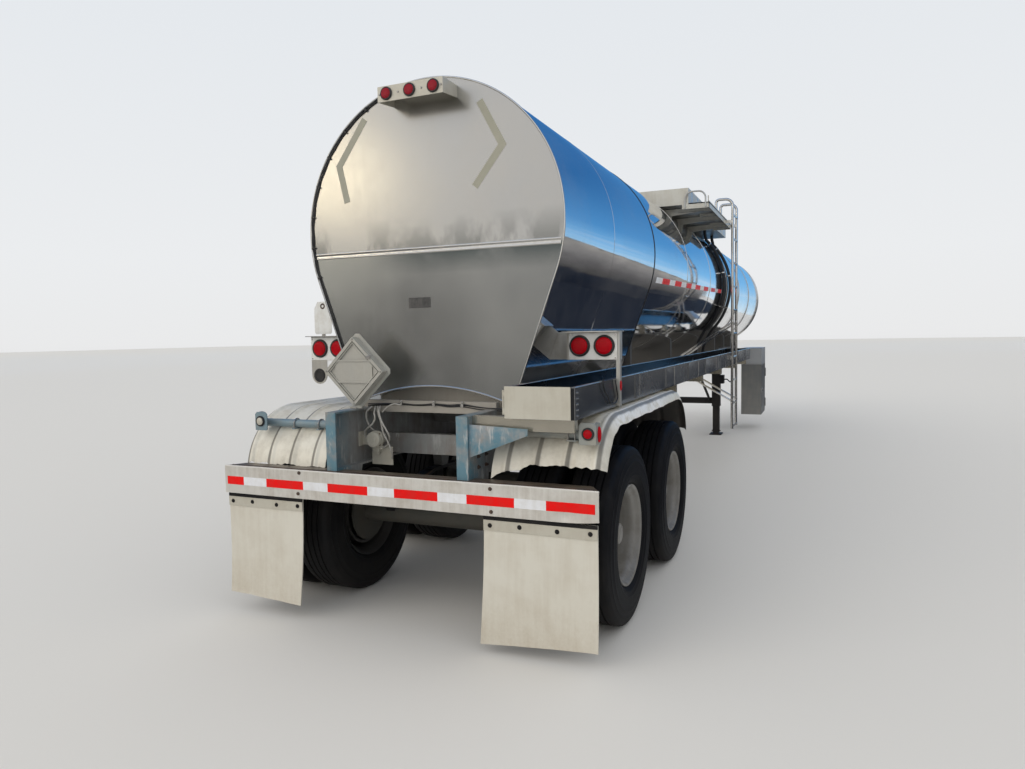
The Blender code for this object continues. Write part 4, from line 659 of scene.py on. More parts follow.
def profile_from(place, *steps):
    """A turned shape's profile, its (along, radius) points measured from a place."""
    return [(place + along, radius) for along, radius in steps]


def arc(centre, radius, start, end, steps):
    angles = [math.radians(start + (end - start) * i / steps) for i in range(steps + 1)]
    return [(centre[0] + radius * math.cos(a), centre[1] + radius * math.sin(a)) for a in angles]


def flowing(points, steps=6):
    """A smooth path through points."""
    points = [Vector(p) for p in points]
    ends = [2 * points[0] - points[1], *points, 2 * points[-1] - points[-2]]
    path = []
    for a, b, c, d in zip(ends, ends[1:], ends[2:], ends[3:]):
        for i in range(steps):
            t = i / steps
            path.append(0.5 * (2 * b + (c - a) * t + (2 * a - 5 * b + 4 * c - d) * t * t
                + (3 * b - a - 3 * c + d) * t ** 3))
    return path + [points[-1]]


def tube(points, radius, sides=12):
    """A round bar along a path, with closed ends."""
    curve = bpy.data.curves.new("path", "CURVE")
    curve.dimensions = "3D"
    curve.bevel_depth = radius
    curve.bevel_resolution = max(0, sides // 4 - 1)
    curve.use_fill_caps = True
    spline = curve.splines.new("POLY")
    spline.points.add(len(points) - 1)
    for point, place in zip(spline.points, points):
        point.co = (*place, 1.0)
    guide = bpy.data.objects.new("path", curve)
    bm = bmesh.new()
    bm.from_mesh(bpy.data.meshes.new_from_object(guide))
    bpy.data.objects.remove(guide)
    return closed(bm)


def hoop(outline, profile):
    """A (y, outward) profile laid round a closed (x, z) outline."""
    count = len(outline)
    rings = []
    for i in range(count):
        before, here, after = (Vector(outline[(i + k) % count]) for k in (-1, 0, 1))
        one, two = (here - before).normalized(), (after - here).normalized()
        out = (Vector((one.y, -one.x)) + Vector((two.y, -two.x))).normalized()
        rings.append([(here.x + out.x * o, y, here.y + out.y * o) for y, o in profile])
    return lofted(rings, loop=True)


def thin_sheet(rows, shift):
    """A grid of places, made into a thin closed sheet by shifting a copy of it."""
    bm = bmesh.new()
    rows = [[bm.verts.new(place) for place in row] for row in rows]
    for one, two in zip(rows, rows[1:]):
        for corners in zip(one, one[1:], two[1:], two):
            bm.faces.new(corners)
    out = bmesh.ops.extrude_face_region(bm, geom=bm.faces[:])
    moved = [v for v in out["geom"] if isinstance(v, bmesh.types.BMVert)]
    bmesh.ops.translate(bm, verts=moved, vec=shift)
    return closed(bm)


def on_circle(count, centre, radius, facing, first=0.0):
    """Evenly spaced (place, direction) pairs on a level circle."""
    places = []
    for i in range(count):
        angle = math.radians(first) + 2 * math.pi * i / count
        places.append(((centre[0] + radius * math.cos(angle), centre[1] + radius * math.sin(angle),
            centre[2]), facing))
    return places


def dyed(bm, index):
    """The shape in one of its piece's other finishes."""
    for face in bm.faces:
        face.material_index = index
    return bm


def each_dyed(index, *shapes):
    return [dyed(shape, index) for shape in shapes]


def merged(*shapes):
    bm = bmesh.new()
    for shape in shapes:
        mesh = bpy.data.meshes.new("shape")
        shape.to_mesh(mesh)
        shape.free()
        bm.from_mesh(mesh)
        bpy.data.meshes.remove(mesh)
    return bm


def mirrored(bm):
    bmesh.ops.scale(bm, vec=(-1, 1, 1), verts=bm.verts)
    bmesh.ops.recalc_face_normals(bm, faces=bm.faces)
    return bm


COUNT = {"pieces": 0, "triangles": 0}


def piece(name, bm, looks, stands_for=(), body="trailer", bevel=0.0, smooth=35):
    """A finished piece that rides on a body and stands for CAD nodes."""
    looks = [looks] if isinstance(looks, str) else list(looks)
    mesh = bpy.data.meshes.new(name)
    bm.to_mesh(mesh)
    bm.free()
    for look in looks:
        mesh.materials.append(MATERIAL[look])
    mesh.shade_smooth()
    mesh.set_sharp_from_angle(angle=math.radians(smooth))
    made = bpy.data.objects.new(name, mesh)
    bpy.context.scene.collection.objects.link(made)
    if bevel:
        edge = made.modifiers.new("edge", "BEVEL")
        edge.width = bevel
        edge.segments = 2
        edge.limit_method = "ANGLE"
        edge.angle_limit = math.radians(40)
        edge.harden_normals = True
    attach(made, body)
    if stands_for:
        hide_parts(*([stands_for] if isinstance(stands_for, str) else stands_for))
    mesh.calc_loop_triangles()
    COUNT["pieces"] += 1
    COUNT["triangles"] += len(mesh.loop_triangles)
    return made


def softened(node, looks, bevel=0.0015, body="trailer", smooth=35, extra=()):
    """A copy of a CAD node's shape with merged faces and rounded edges, and small parts added."""
    bm = bmesh.new()
    bm.from_mesh(NODES[node].data)
    bmesh.ops.remove_doubles(bm, verts=bm.verts, dist=2e-5)
    bmesh.ops.dissolve_limit(bm, angle_limit=math.radians(0.6), verts=bm.verts, edges=bm.edges)
    bmesh.ops.recalc_face_normals(bm, faces=bm.faces)
    dyed(bm, 0)
    return piece(f"{node}_formed", merged(bm, *extra), looks, node, body, bevel, smooth)


# %% [markdown]
# ## Small parts that repeat
# Bolts, rivets, bars and bands repeat all over a trailer. Three trees of geometry nodes make them:
# one puts a bolt on each marked point, one lays bars in a row, and one sets hoops along the barrel.
# The size and the count are inputs, so the same tree serves every place.

# %% Repeating parts
def growing(name, inputs):
    """An empty tree of geometry nodes with named inputs."""
    tree = bpy.data.node_groups.new(name, "GeometryNodeTree")
    tree.interface.new_socket(name="Geometry", in_out="INPUT", socket_type="NodeSocketGeometry")
    for label, kind, value in inputs:
        made = tree.interface.new_socket(name=label, in_out="INPUT", socket_type=kind)
        if value is not None:
            made.default_value = value
    tree.interface.new_socket(name="Geometry", in_out="OUTPUT", socket_type="NodeSocketGeometry")
    source, sink = tree.nodes.new("NodeGroupInput"), tree.nodes.new("NodeGroupOutput")
    return tree, Graph(tree), source.outputs, sink.inputs


def end_tree(tree, g, shape, inp, out):
    """Every tree ends the same way: instances made real, and a material set."""
    real = g.add("GeometryNodeRealizeInstances", {"Geometry": shape})
    done = g.add("GeometryNodeSetMaterial", {"Geometry": real, "Material": inp["Material"]})
    tree.links.new(done, out["Geometry"])
    return tree


WHOLE, METRES, STUFF = "NodeSocketInt", "NodeSocketFloat", "NodeSocketMaterial"


def bolts_tree():
    """A hexagon or round head on a washer at each point, facing along the point's direction."""
    tree, g, inp, out = growing("bolts", [("Sides", WHOLE, 6), ("Width", METRES, 0.02),
        ("Height", METRES, 0.01), ("Washer", METRES, 1.5), ("Stud", METRES, 0.5), ("Material", STUFF, None)])
    half = g.maths("MULTIPLY", inp["Width"], 0.5)

    def disc(sides, radius, depth, low):
        made = g.add("GeometryNodeMeshCylinder", {"Vertices": sides, "Radius": radius, "Depth": depth},
            "Mesh")
        lift = g.maths("ADD", low, g.maths("MULTIPLY", depth, 0.5))
        offset = g.add("ShaderNodeCombineXYZ", {"Z": lift})
        return g.add("GeometryNodeTransform", {"Geometry": made, "Translation": offset})

    washer = disc(20, g.maths("MULTIPLY", half, inp["Washer"]), g.maths("MULTIPLY", inp["Height"], 0.18), 0.0)
    head = disc(inp["Sides"], half, inp["Height"], 0.0)
    stud = disc(12, g.maths("MULTIPLY", half, inp["Stud"]), g.maths("MULTIPLY", inp["Height"], 1.45), 0.0)
    join = tree.nodes.new("GeometryNodeJoinGeometry")
    for part in (washer, head, stud):
        tree.links.new(part, join.inputs[0])
    facing = g.add("GeometryNodeInputNamedAttribute", {"Name": "facing"}, data_type="FLOAT_VECTOR")
    turn = g.add("FunctionNodeAlignRotationToVector", {"Vector": facing}, axis="Z")
    put = g.add("GeometryNodeInstanceOnPoints", {"Points": inp["Geometry"], "Instance": join.outputs[0],
        "Rotation": turn}, "Instances")
    return end_tree(tree, g, put, inp, out)


def row_tree():
    """Bars of one size, evenly spaced along a line."""
    tree, g, inp, out = growing("bars", [("Count", WHOLE, 4), ("Start", POINT, (0, 0, 0)),
        ("Step", POINT, (0, 1, 0)), ("Size", POINT, (0.1, 0.1, 0.1)), ("Material", STUFF, None)])
    line = g.add("GeometryNodeMeshLine", {"Count": inp["Count"], "Start Location": inp["Start"],
        "Offset": inp["Step"]}, "Mesh")
    bar = g.add("GeometryNodeMeshCube", {"Size": inp["Size"]}, "Mesh")
    put = g.add("GeometryNodeInstanceOnPoints", {"Points": line, "Instance": bar}, "Instances")
    return end_tree(tree, g, put, inp, out)


def bands_tree():
    """Flat bands round the barrel, evenly spaced along it."""
    tree, g, inp, out = growing("bands", [("Count", WHOLE, 3), ("Start", POINT, (0, 0, 0)),
        ("Step", POINT, (0, 1, 0)), ("Radius", METRES, 1.0), ("Width", METRES, 0.03),
        ("Thickness", METRES, 0.002), ("Material", STUFF, None)])
    line = g.add("GeometryNodeMeshLine", {"Count": inp["Count"], "Start Location": inp["Start"],
        "Offset": inp["Step"]}, "Mesh")
    ring = g.add("GeometryNodeCurvePrimitiveCircle", {"Resolution": 144, "Radius": inp["Radius"]}, "Curve")
    strip = g.add("GeometryNodeCurvePrimitiveQuadrilateral", {"Width": inp["Thickness"],
        "Height": inp["Width"]}, "Curve")
    band = g.add("GeometryNodeCurveToMesh", {"Curve": ring, "Profile Curve": strip}, "Mesh")
    upright = g.add("GeometryNodeTransform", {"Geometry": band, "Rotation": (math.pi / 2, 0, 0)})
    put = g.add("GeometryNodeInstanceOnPoints", {"Points": line, "Instance": upright}, "Instances")
    return end_tree(tree, g, put, inp, out)


TREES = {"bolts": bolts_tree(), "bars": row_tree(), "bands": bands_tree()}


def grown(tree, look, points=(), **values):
    """The shape that a tree grows, from (place, direction) points where it needs them."""
    seed = bpy.data.meshes.new("seed")
    seed.from_pydata([place for place, _ in points], [], [])
    if points:
        facing = seed.attributes.new("facing", "FLOAT_VECTOR", "POINT")
        for item, (_, direction) in zip(facing.data, points):
            item.vector = direction
    holder = bpy.data.objects.new("seed", seed)
    bpy.context.scene.collection.objects.link(holder)
    modifier = holder.modifiers.new("grow", "NODES")
    modifier.node_group = TREES[tree]
    for item in TREES[tree].interface.items_tree:
        if item.in_out == "INPUT" and item.name != "Geometry":
            if item.name == "Material":
                modifier[item.identifier] = MATERIAL[look]
            elif item.name in values:
                modifier[item.identifier] = values[item.name]
    mesh = bpy.data.meshes.new_from_object(holder.evaluated_get(bpy.context.evaluated_depsgraph_get()))
    bm = bmesh.new()
    bm.from_mesh(mesh)
    bpy.data.objects.remove(holder)
    return closed(bm)


def bolts(look, points, width=0.018, height=0.008, sides=6, washer=1.5, stud=0.5):
    return grown("bolts", look, points, Sides=sides, Width=width, Height=height, Washer=washer, Stud=stud)


print("trees:", {name: len(tree.nodes) for name, tree in TREES.items()})

# %% [markdown]
# ## Rear head and jacket
# The rear of such a tank is one pressed head with a thin stainless jacket wrapped round it. Seen
# from behind it is round above, and below it runs in straight to a flat-bottomed skirt that hides
# the frame. The outline is drawn once, finely, and the head, the jacket and its seams share it.

# %% Rear head and jacket
TANK_RADIUS, TANK_Z = 0.885, 2.390
HEAD = fore(0.500)
SKIRT_END = 2.840
SKIRT_ANGLE, CORNER_Z, CROWN_Z = 20.0, 1.300, 1.410
TAN_SKIRT = math.tan(math.radians(SKIRT_ANGLE))
LEAVES_X = TANK_RADIUS * math.cos(math.radians(SKIRT_ANGLE))
LEAVES_Z = TANK_Z - TANK_RADIUS * math.sin(math.radians(SKIRT_ANGLE))
CORNER_X = LEAVES_X - (LEAVES_Z - CORNER_Z) * TAN_SKIRT


def skirt_outline(radius=TANK_RADIUS, steps=96):
    upper = arc((0, TANK_Z), radius, -SKIRT_ANGLE, 180 + SKIRT_ANGLE, steps)
    rise = CROWN_Z - CORNER_Z
    sweep = (CORNER_X ** 2 + rise ** 2) / (2 * rise)
    half = math.degrees(math.asin(CORNER_X / sweep))
    bottom = arc((0, CROWN_Z - sweep), sweep, 90 + half, 90 - half, 20)
    first, last = Vector(bottom[0]), Vector(bottom[-1])
    left = [tuple(Vector(upper[-1]).lerp(first, i / 8)) for i in range(1, 8)]
    back = [tuple(last.lerp(Vector(upper[0]), i / 8)) for i in range(1, 8)]
    return upper + left + bottom + back


def strip_on(outline, low, high, thick):
    """A flat band that lies on the jacket between two distances."""
    return hoop(outline, [(fore(low), 0.0), (fore(low) + 0.001, thick), (fore(high) - 0.001, thick),
        (fore(high), 0.0)])


OUTLINE = skirt_outline()
head_bm = prism(OUTLINE, "Y", HEAD, HEAD + 0.006)
bead = hoop(OUTLINE, [(HEAD + 0.006, 0.0), (HEAD + 0.005, 0.004), (HEAD + 0.001, 0.0055),
    (HEAD - 0.004, 0.003), (HEAD - 0.0045, -0.002), (HEAD - 0.001, -0.006), (HEAD + 0.001, -0.006)])
piece("head_sheet", merged(head_bm, dyed(bead, 1)), ["head", "bright_trim"], "rear_head")
jacket_bm = prism(OUTLINE, "Y", HEAD + 0.0063, fore(SKIRT_END))
lap = strip_on(OUTLINE, 1.552, 1.566, 0.0012)
edge = strip_on(OUTLINE, 0.512, 0.545, 0.0015)
piece("skirt_sheet", merged(jacket_bm, lap, edge), "polished", "skirt_jacket")
piece("skirt_seal", strip_on(OUTLINE, 2.832, 2.848, 0.0035), "sealant")
start = fore(2.846)
nose_at = fore(12.88)
nose = [(nose_at + 0.220 * math.sin(math.radians(a)), TANK_RADIUS * math.cos(math.radians(a))) for a
    in range(0, 91, 5)]
barrel = turned([(start, 0), (start, TANK_RADIUS), *nose[:-1], (fore(13.10), 0)], "Y", (0, 0, TANK_Z), 144)
bands = grown("bands", "polished", Count=6, Start=(0, fore(4.45), TANK_Z), Step=(0, 1.62, 0),
    Radius=TANK_RADIUS + 0.0006, Width=0.030, Thickness=0.0022)
front_seam = turned([(nose_at - 0.012, TANK_RADIUS), (nose_at - 0.010, TANK_RADIUS + 0.004),
    (nose_at + 0.010, TANK_RADIUS + 0.004), (nose_at + 0.012, TANK_RADIUS - 0.002)], "Y", (0, 0, TANK_Z), 144,
    loop=True)
piece("barrel_sheet", merged(barrel, bands, dyed(front_seam, 1)), ["polished", "bright_trim"], "tank_jacket")
print("jacket:", COUNT)

# %% [markdown]
# ## On the head
# A rolled band crosses the head where its two sheets meet. Above it stand two chevrons of worn grey
# reflective tape that point outwards, and below it a small dark plate, left blank. The wire to the
# roof lamps runs round the left edge under small clips.

# %% On the head
TRIM_Z = 2.250
face = HEAD - 0.0003
band = [(face, TRIM_Z - 0.0195), (face - 0.0012, TRIM_Z - 0.0195), (face - 0.0032, TRIM_Z - 0.015),
    (face - 0.0032, TRIM_Z - 0.011), (face - 0.0012, TRIM_Z - 0.006), (face - 0.0012, TRIM_Z + 0.006),
    (face - 0.0032, TRIM_Z + 0.011), (face - 0.0032, TRIM_Z + 0.015), (face - 0.0012, TRIM_Z + 0.0195),
    (face, TRIM_Z + 0.0195)]
piece("head_band", prism(band, "X", -0.862, 0.862), "bright_trim", smooth=50)
CHEVRONS = {"right": ((0.364, 3.093), (0.507, 2.826), (0.324, 2.600)),
    "left": ((-0.438, 3.088), (-0.642, 2.815), (-0.588, 2.582))}
for name, corners in CHEVRONS.items():
    top, tip, low = (Vector(c) for c in corners)
    out = [Vector((d.y, -d.x)).normalized() * 0.0225 for d in (tip - top, low - tip)]
    mitre = (out[0] + out[1]) / (1 + out[0].normalized().dot(out[1].normalized()))
    outline = [top + out[0], tip + mitre, low + out[1], low - out[1], tip - mitre, top - out[0]]
    piece(f"chevron_{name}", prism([tuple(p) for p in outline], "Y", face - 0.0006, face), "tape_grey")
piece("blank_plate", box((-0.150, 0.005), (face - 0.0012, face), (1.896, 1.960)), "dark_plate", bevel=0.0004)
edge_radius = TANK_RADIUS - 0.016
around = arc((0, TANK_Z), edge_radius, 112, 180 + SKIRT_ANGLE, 60)
last_x, last_z = around[-1]
down = [(last_x + TAN_SKIRT * drop, last_z - drop) for drop in (0.12, 0.24, 0.36, 0.48, 0.60, 0.70)]
route = [(-0.2203, 3.190), (-0.245, 3.190), (-0.270, 3.190), *around, *down]
wires, clips = [], []
for offset, lift in ((-0.003, 0.005), (0.0085, 0.0045)):
    path = []
    for i, (x, z) in enumerate(route):
        centre = Vector((x, z - TANK_Z))
        inward = centre.normalized() * offset
        wave = 0.0022 * math.sin(i * 0.9 + offset * 400)
        path.append((x - inward.x - wave, face - lift, z - inward.y))
    wires.append(tube(flowing(path, 2), 0.0034, 8))
for i in range(8, len(route), 9):
    x, z = route[i]
    toward = Vector((x, z - TANK_Z)).normalized()
    middle = Vector((x, z)) - toward * 0.004
    side = Vector((-toward.y, toward.x)) * 0.005
    reach = toward * 0.0125
    quad = [middle + reach + side, middle - reach + side, middle - reach - side, middle + reach - side]
    clips.append(prism([tuple(p) for p in quad], "Y", face - 0.0125, face))
piece("head_cable", merged(*wires, *clips), "rubber", "head_wire")

# %% [markdown]
# ## Tape along the sides
# Red and white reflective tape is laid along each side of the barrel, just ahead of the seam. It
# rises slightly forward, and follows the curve as short bent strips a fraction of a millimetre off
# the steel.

# %% Side tape
TAPE_FROM, TAPE_TO, TAPE_LOW, TAPE_HEIGHT, TAPE_RISE = 3.000, 7.120, 2.158, 0.050, 0.024
RED_LENGTH, WHITE_LENGTH = 0.330, 0.255


def side_tape(hand):
    lift = TANK_RADIUS + 0.0009
    shapes = []
    at, red = TAPE_FROM, False
    while at < TAPE_TO:
        length = RED_LENGTH if red else WHITE_LENGTH
        end = min(at + length, TAPE_TO)
        rows = []
        for i in range(4):
            rows.append([])
            for y in (at, end):
                z = TAPE_LOW + TAPE_RISE * (y - TAPE_FROM) + TAPE_HEIGHT * i / 3
                rows[-1].append((hand * math.sqrt(lift ** 2 - (z - TANK_Z) ** 2), fore(y), z))
        shapes.append(dyed(thin_sheet(rows, (-hand * 0.0006, 0, 0)), 0 if red else 1))
        at, red = end, not red
    return merged(*shapes)


for hand, name in ((1, "right"), (-1, "left")):
    piece(f"side_tape_{name}", side_tape(hand), ["tape_red", "tape_white"])
print("head:", COUNT)

# %% [markdown]
# ## Wheels and tyres
# Each pair of steel disc wheels is bolted back to back, so the outer one is deeply dished and its
# rim's inside is most of what shows. The rim is turned from a full profile, with its well and its
# rolled flange; ten nuts and the hub's cap close it. The tyres are of the ribbed trailer kind.

# %% Wheels and tyres
AXLES = {"rear": fore(0.724), "front": fore(2.033)}
TYRE_RADIUS, OUTER_X, INNER_X = 0.526, 1.075, 0.740
BOLTED = (OUTER_X + INNER_X) / 2
NUT_CIRCLE = 0.1675

DISH = [(1.1405, 0), (1.1400, 0.030), (1.1375, 0.050), (1.1300, 0.060), (1.0900, 0.064), (1.0760, 0.072),
    (1.0700, 0.084), (1.0640, 0.110), (1.0580, 0.115), (0.9700, 0.119), (0.9400, 0.126), (0.9290, 0.134),
    (0.9265, 0.146), (0.9260, 0.190), (0.9275, 0.208), (0.9330, 0.226), (0.9440, 0.238), (0.9600, 0.2450),
    (0.9900, 0.2485), (1.1180, 0.2500), (1.1400, 0.2535), (1.1520, 0.2600), (1.1580, 0.2680),
    (1.1640, 0.2745), (1.1760, 0.2790), (1.1850, 0.2835), (1.1895, 0.2900), (1.1915, 0.2960),
    (1.1900, 0.2985)]
HIDDEN = [(1.1800, 0.2985), (1.1800, 0.2857), (0.9700, 0.2857), (0.9700, 0.2985), (0.9580, 0.2985),
    (0.9400, 0.240), (BOLTED, 0.215), (0.875, 0.240), (0.8570, 0.2985), (0.8450, 0.2985), (0.8450, 0.2857),
    (0.6350, 0.2857), (0.6350, 0.2985), (0.6230, 0.2985), (0.6280, 0.2900), (0.6400, 0.2790),
    (0.6520, 0.2740), (0.6600, 0.2640), (0.6700, 0.2580), (0.8700, 0.2480), (0.8855, 0.2400),
    (0.8855, 0.2220), (0.6690, 0.2220), (0.6690, 0.2050), (0.8505, 0.2050), (0.8505, 0.0475),
    (1.0600, 0.0470), (1.0600, 0.0)]


def tyre_profile(centre):
    half = [(0.1047, 0.2860), (0.1047, 0.3005), (0.1120, 0.3060), (0.1215, 0.3160), (0.1270, 0.3265),
        (0.1290, 0.3275), (0.1300, 0.3310), (0.1320, 0.3420), (0.1362, 0.3520), (0.1375, 0.3560),
        (0.1368, 0.3590), (0.1384, 0.3720), (0.1394, 0.3920), (0.1392, 0.4120), (0.1380, 0.4300),
        (0.1388, 0.4325), (0.1386, 0.4365), (0.1372, 0.4385), (0.1350, 0.4550), (0.1318, 0.4720),
        (0.1326, 0.4745), (0.1316, 0.4785), (0.1298, 0.4800), (0.1265, 0.4925), (0.1240, 0.4985),
        (0.1232, 0.5035), (0.1205, 0.5080), (0.1140, 0.5160), (0.1060, 0.5215), (0.1000, 0.5245),
        (0.0960, 0.5258), (0.0660, 0.5260), (0.0645, 0.5150), (0.0575, 0.5150), (0.0560, 0.5260),
        (0.0260, 0.5260), (0.0245, 0.5150), (0.0175, 0.5150), (0.0160, 0.5260)]
    return [(centre + x, r) for x, r in half] + [(centre - x, r) for x, r in half[::-1]]


def around_axle(y, x, radius, count, turn=0.0):
    """Evenly spaced places on a circle about an axle."""
    places = []
    for i in range(count):
        angle = 2 * math.pi * i / count + turn
        places.append(Vector((x, y + radius * math.cos(angle), TYRE_RADIUS + radius * math.sin(angle))))
    return places


for name, y in AXLES.items():
    for hand, side in ((1, "right"), (-1, "left")):
        body = f"wheels_{name}_{side}"
        centre = (0, y, TYRE_RADIUS)
        wheel = turned(DISH + HIDDEN, "X", centre, 80)
        nuts = bolts("black", [(p, (1, 0, 0)) for p in around_axle(y, 0.9258, NUT_CIRCLE, 10, 0.2)],
            width=0.036, height=0.022, washer=1.3, stud=0.6)
        cap = bolts("black", [(p, (1, 0, 0)) for p in around_axle(y, 1.0690, 0.097, 6, 0.1)], width=0.014,
            height=0.007)
        holes = []
        for i, place in enumerate(around_axle(y, 0, 0.2100, 5, 0.5)):
            hole = turned([(0.9262, 0.0), (0.9262, 0.021), (0.9285, 0.024), (0.9278, 0.027), (0.9240, 0.027)],
                "X", place, 20)
            holes.append(hole)
        stem = tube(flowing([(0.935, y + 0.03, TYRE_RADIUS + 0.232), (0.975, y + 0.03, TYRE_RADIUS + 0.228),
            (1.045, y + 0.03, TYRE_RADIUS + 0.236)], 3), 0.0045, 8)
        shape = merged(dyed(wheel, 0), dyed(nuts, 1), dyed(cap, 1), *each_dyed(2, *holes), dyed(stem, 2))
        piece(f"rims_{name}_{side}", shape if hand > 0 else mirrored(shape), ["rim", "rusty", "rubber"],
            f"wheel_{name}_{side}", body, smooth=38)
        for which, x in (("outer", OUTER_X), ("inner", INNER_X)):
            tyre = turned(tyre_profile(x), "X", centre, 96, loop=True)
            piece(f"rubber_{name}_{side}_{which}", tyre if hand > 0 else mirrored(tyre), "tyre",
                f"tyre_{name}_{side}_{which}", body, smooth=30)
print("wheels:", COUNT)

# %% [markdown]
# ## Rear guard, its tape, and the mud flaps
# The guard is a formed aluminium channel across the whole width. It carries two-inch reflective tape
# and has been backed into things, so its face is dented and its lower right end is bent up. The deck
# behind it is rusty where wet gravel lies. The mud flaps hang under bars bolted below it.

# %% Rear guard
GUARD_TOP, GUARD_LOW, GUARD_END = 0.934, 0.760, 1.219
DENTS = ((-0.55, 0.80, 0.10, 0.006), (0.15, 0.785, 0.14, 0.005), (0.78, 0.90, 0.09, 0.005),
    (1.05, 0.80, 0.08, 0.008), (-0.95, 0.915, 0.07, 0.005), (0.42, 0.92, 0.06, 0.004),
    (-0.15, 0.90, 0.08, 0.004))


def dented(x, z):
    """How far the guard's face is pushed in at a place."""
    depth = 0.0
    for cx, cz, size, deep in DENTS:
        depth += deep * math.exp(-((x - cx) ** 2 + 2.2 * (z - cz) ** 2) / (size * size) * 3)
    return depth + 0.0008 * (noise.noise(Vector((x * 6, 3.0, z * 14))) + 1)


def guard_shape():
    """The channel's section, carried across in short steps so that its face can be dented."""
    section = [(0.0, GUARD_LOW), *[(0.0, GUARD_LOW + 0.174 * i / 12) for i in range(1, 12)], (0.0, GUARD_TOP),
        (0.006, GUARD_TOP), (0.006, 0.930), (0.130, 0.930), (0.130, 0.900), (0.124, 0.900), (0.124, 0.924),
        (0.006, 0.924), (0.006, 0.766), (0.110, 0.766), (0.110, 0.760)]
    rings = []
    steps = 120
    for i in range(steps + 1):
        x = -GUARD_END + 2 * GUARD_END * i / steps
        bend = max(0.0, x - 1.00) ** 2 * 0.30
        ring = []
        cut = max(0.10, min(1.0, (GUARD_END - abs(x)) / 0.07))
        for y, z in section:
            depth = dented(x, z) if y <= 0.006 else 0.0
            y = y if y <= 0.006 else 0.006 + (y - 0.006) * cut
            low = max(0.0, (0.80 - z) / 0.04)
            ring.append((x, fore(y + depth), z + bend * min(1.0, low)))
        rings.append(ring)
    return lofted(rings)


TAPE_ENDS = (-1.200, -1.068, -0.890, -0.611, -0.433, -0.154, 0.024, 0.303, 0.481, 0.760, 0.938, 1.200)


def guard_tape():
    """Strips that follow the dented face, red at both ends."""
    shapes = []
    for index, (low, high) in enumerate(zip(TAPE_ENDS, TAPE_ENDS[1:])):
        steps = max(2, round((high - low) / 0.02))
        columns = []
        for i in range(steps + 1):
            x = low + (high - low) * i / steps
            columns.append([(x, fore(dented(x, z) - 0.0009), z) for z in (0.8145, 0.8315, 0.8485, 0.8655)])
        shapes.append(dyed(thin_sheet(columns, (0, 0.0007, 0)), index % 2))
    return merged(*shapes)


BACKWARD, UPWARD, DOWNWARD = (0, -1, 0), (0, 0, 1), (0, 0, -1)
guard_bolts = bolts("brushed", [((x, fore(dented(x, z)), z), BACKWARD) for x,
    z in ((-0.638, 0.916), (-0.650, 0.790), (0.622, 0.906), (0.626, 0.783))], 0.018, 0.006, 12, 1.2, 0.3)
piece("guard_channel", merged(guard_shape(), dyed(guard_bolts, 1)), ["guard", "rusty"], "rear_guard",
    smooth=30)
piece("guard_tape", guard_tape(), ["tape_red", "tape_white"])
grid = []
for i in range(81):
    x = -1.19 + 2.38 * i / 80
    wide = 0.045 + 0.030 * noise.noise(Vector((x * 3.0, 0, 1))) + 0.012 * noise.noise(Vector((x * 17, 0, 2)))
    grid.append([(x, fore(0.010 + max(0.012, wide) * j / 4), 0.9305 + 0.0022 * (j in (1, 2, 3))
        * (1 + noise.noise(Vector((x * 40, j, 5))))) for j in range(5)])
piece("deck_rust", thin_sheet(grid, (0, 0, -0.0004)), "rusty")

# %% Mud flaps
FLAPS = {"right": (0.570, 1.206), "left": (-1.214, -0.640)}
FLAP_TOP, FLAP_LOW, FLAP_Y = 0.7531, 0.095, 0.0263


def flap_shape(low, high, hand):
    """A thick plastic sheet that sags into a slight curve, with a ragged lower edge."""
    rows = []
    for i in range(25):
        share = i / 24
        row = []
        for j in range(17):
            across = j / 16
            drift = 0.028 * (1 - across) if hand > 0 else 0.004 + 0.028 * across
            x = low + (high - low) * across - drift * share ** 1.5
            z = FLAP_TOP + (FLAP_LOW - FLAP_TOP) * share
            if i == 24:
                z += 0.006 * max(0.0, noise.noise(Vector((x * 9, hand, 0)))) + 0.028 * (1
                    - across) * (hand < 0)
            z -= (0.046 * (1 - across) ** 1.3 + 0.002 if hand > 0 else 0.0) * share ** 3
            lean = 0.004 * math.sin(share * 2.6) - 0.014 * share ** 2.2
            curl = 0.006 * share * (noise.noise(Vector((x * 2.2, hand * 3, share * 1.4))))
            row.append((x, fore(FLAP_Y + lean - 0.001 + curl), z))
        rows.append(row)
    return thin_sheet(rows, (0, 0.0075, 0))


for side, (low, high) in FLAPS.items():
    piece(f"flap_{side}", flap_shape(low, high, 1 if side == "right" else -1), "flap", f"mud_flap_{side}",
        bevel=0.0012)
    width = high - low
    places = [((low + width * share, fore(FLAP_Y - 0.0065), 0.7040 + 0.004 * (i % 2)), BACKWARD) for i,
        share in enumerate((0.06, 0.33, 0.66, 0.94))]
    sheet = (fore(FLAP_Y - 0.0065), fore(FLAP_Y - 0.0010))
    bar = [box((low, high), sheet, (0.676, 0.7330)), dyed(box((low, high), sheet, (0.7340, 0.7531)), 1),
        dyed(bolts("black", places, 0.019, 0.006, 12, 1.35, 0.3), 1)]
    piece(f"flap_bar_{side}", merged(*bar), ["cream", "black"], f"flap_bar_{side}", bevel=0.001)
print("guard and flaps:", COUNT)

# %% [markdown]
# ## Fenders
# One long ribbed sheet goes over both wheels of a side. Its ribs are pressed along it, its edges are
# bent by knocks, and the lower rear edge is ragged. A pipe from the frame carries its rear end, held
# by U-bolts, with a bracket for the small side lamps at its tip.

# %% Fenders
FENDER_X, FENDER_R, RIBS = (0.560, 1.200), 0.420, 4
FENDER_Y, FENDER_Z, FENDER_EDGE = 0.560, 0.840, 0.930


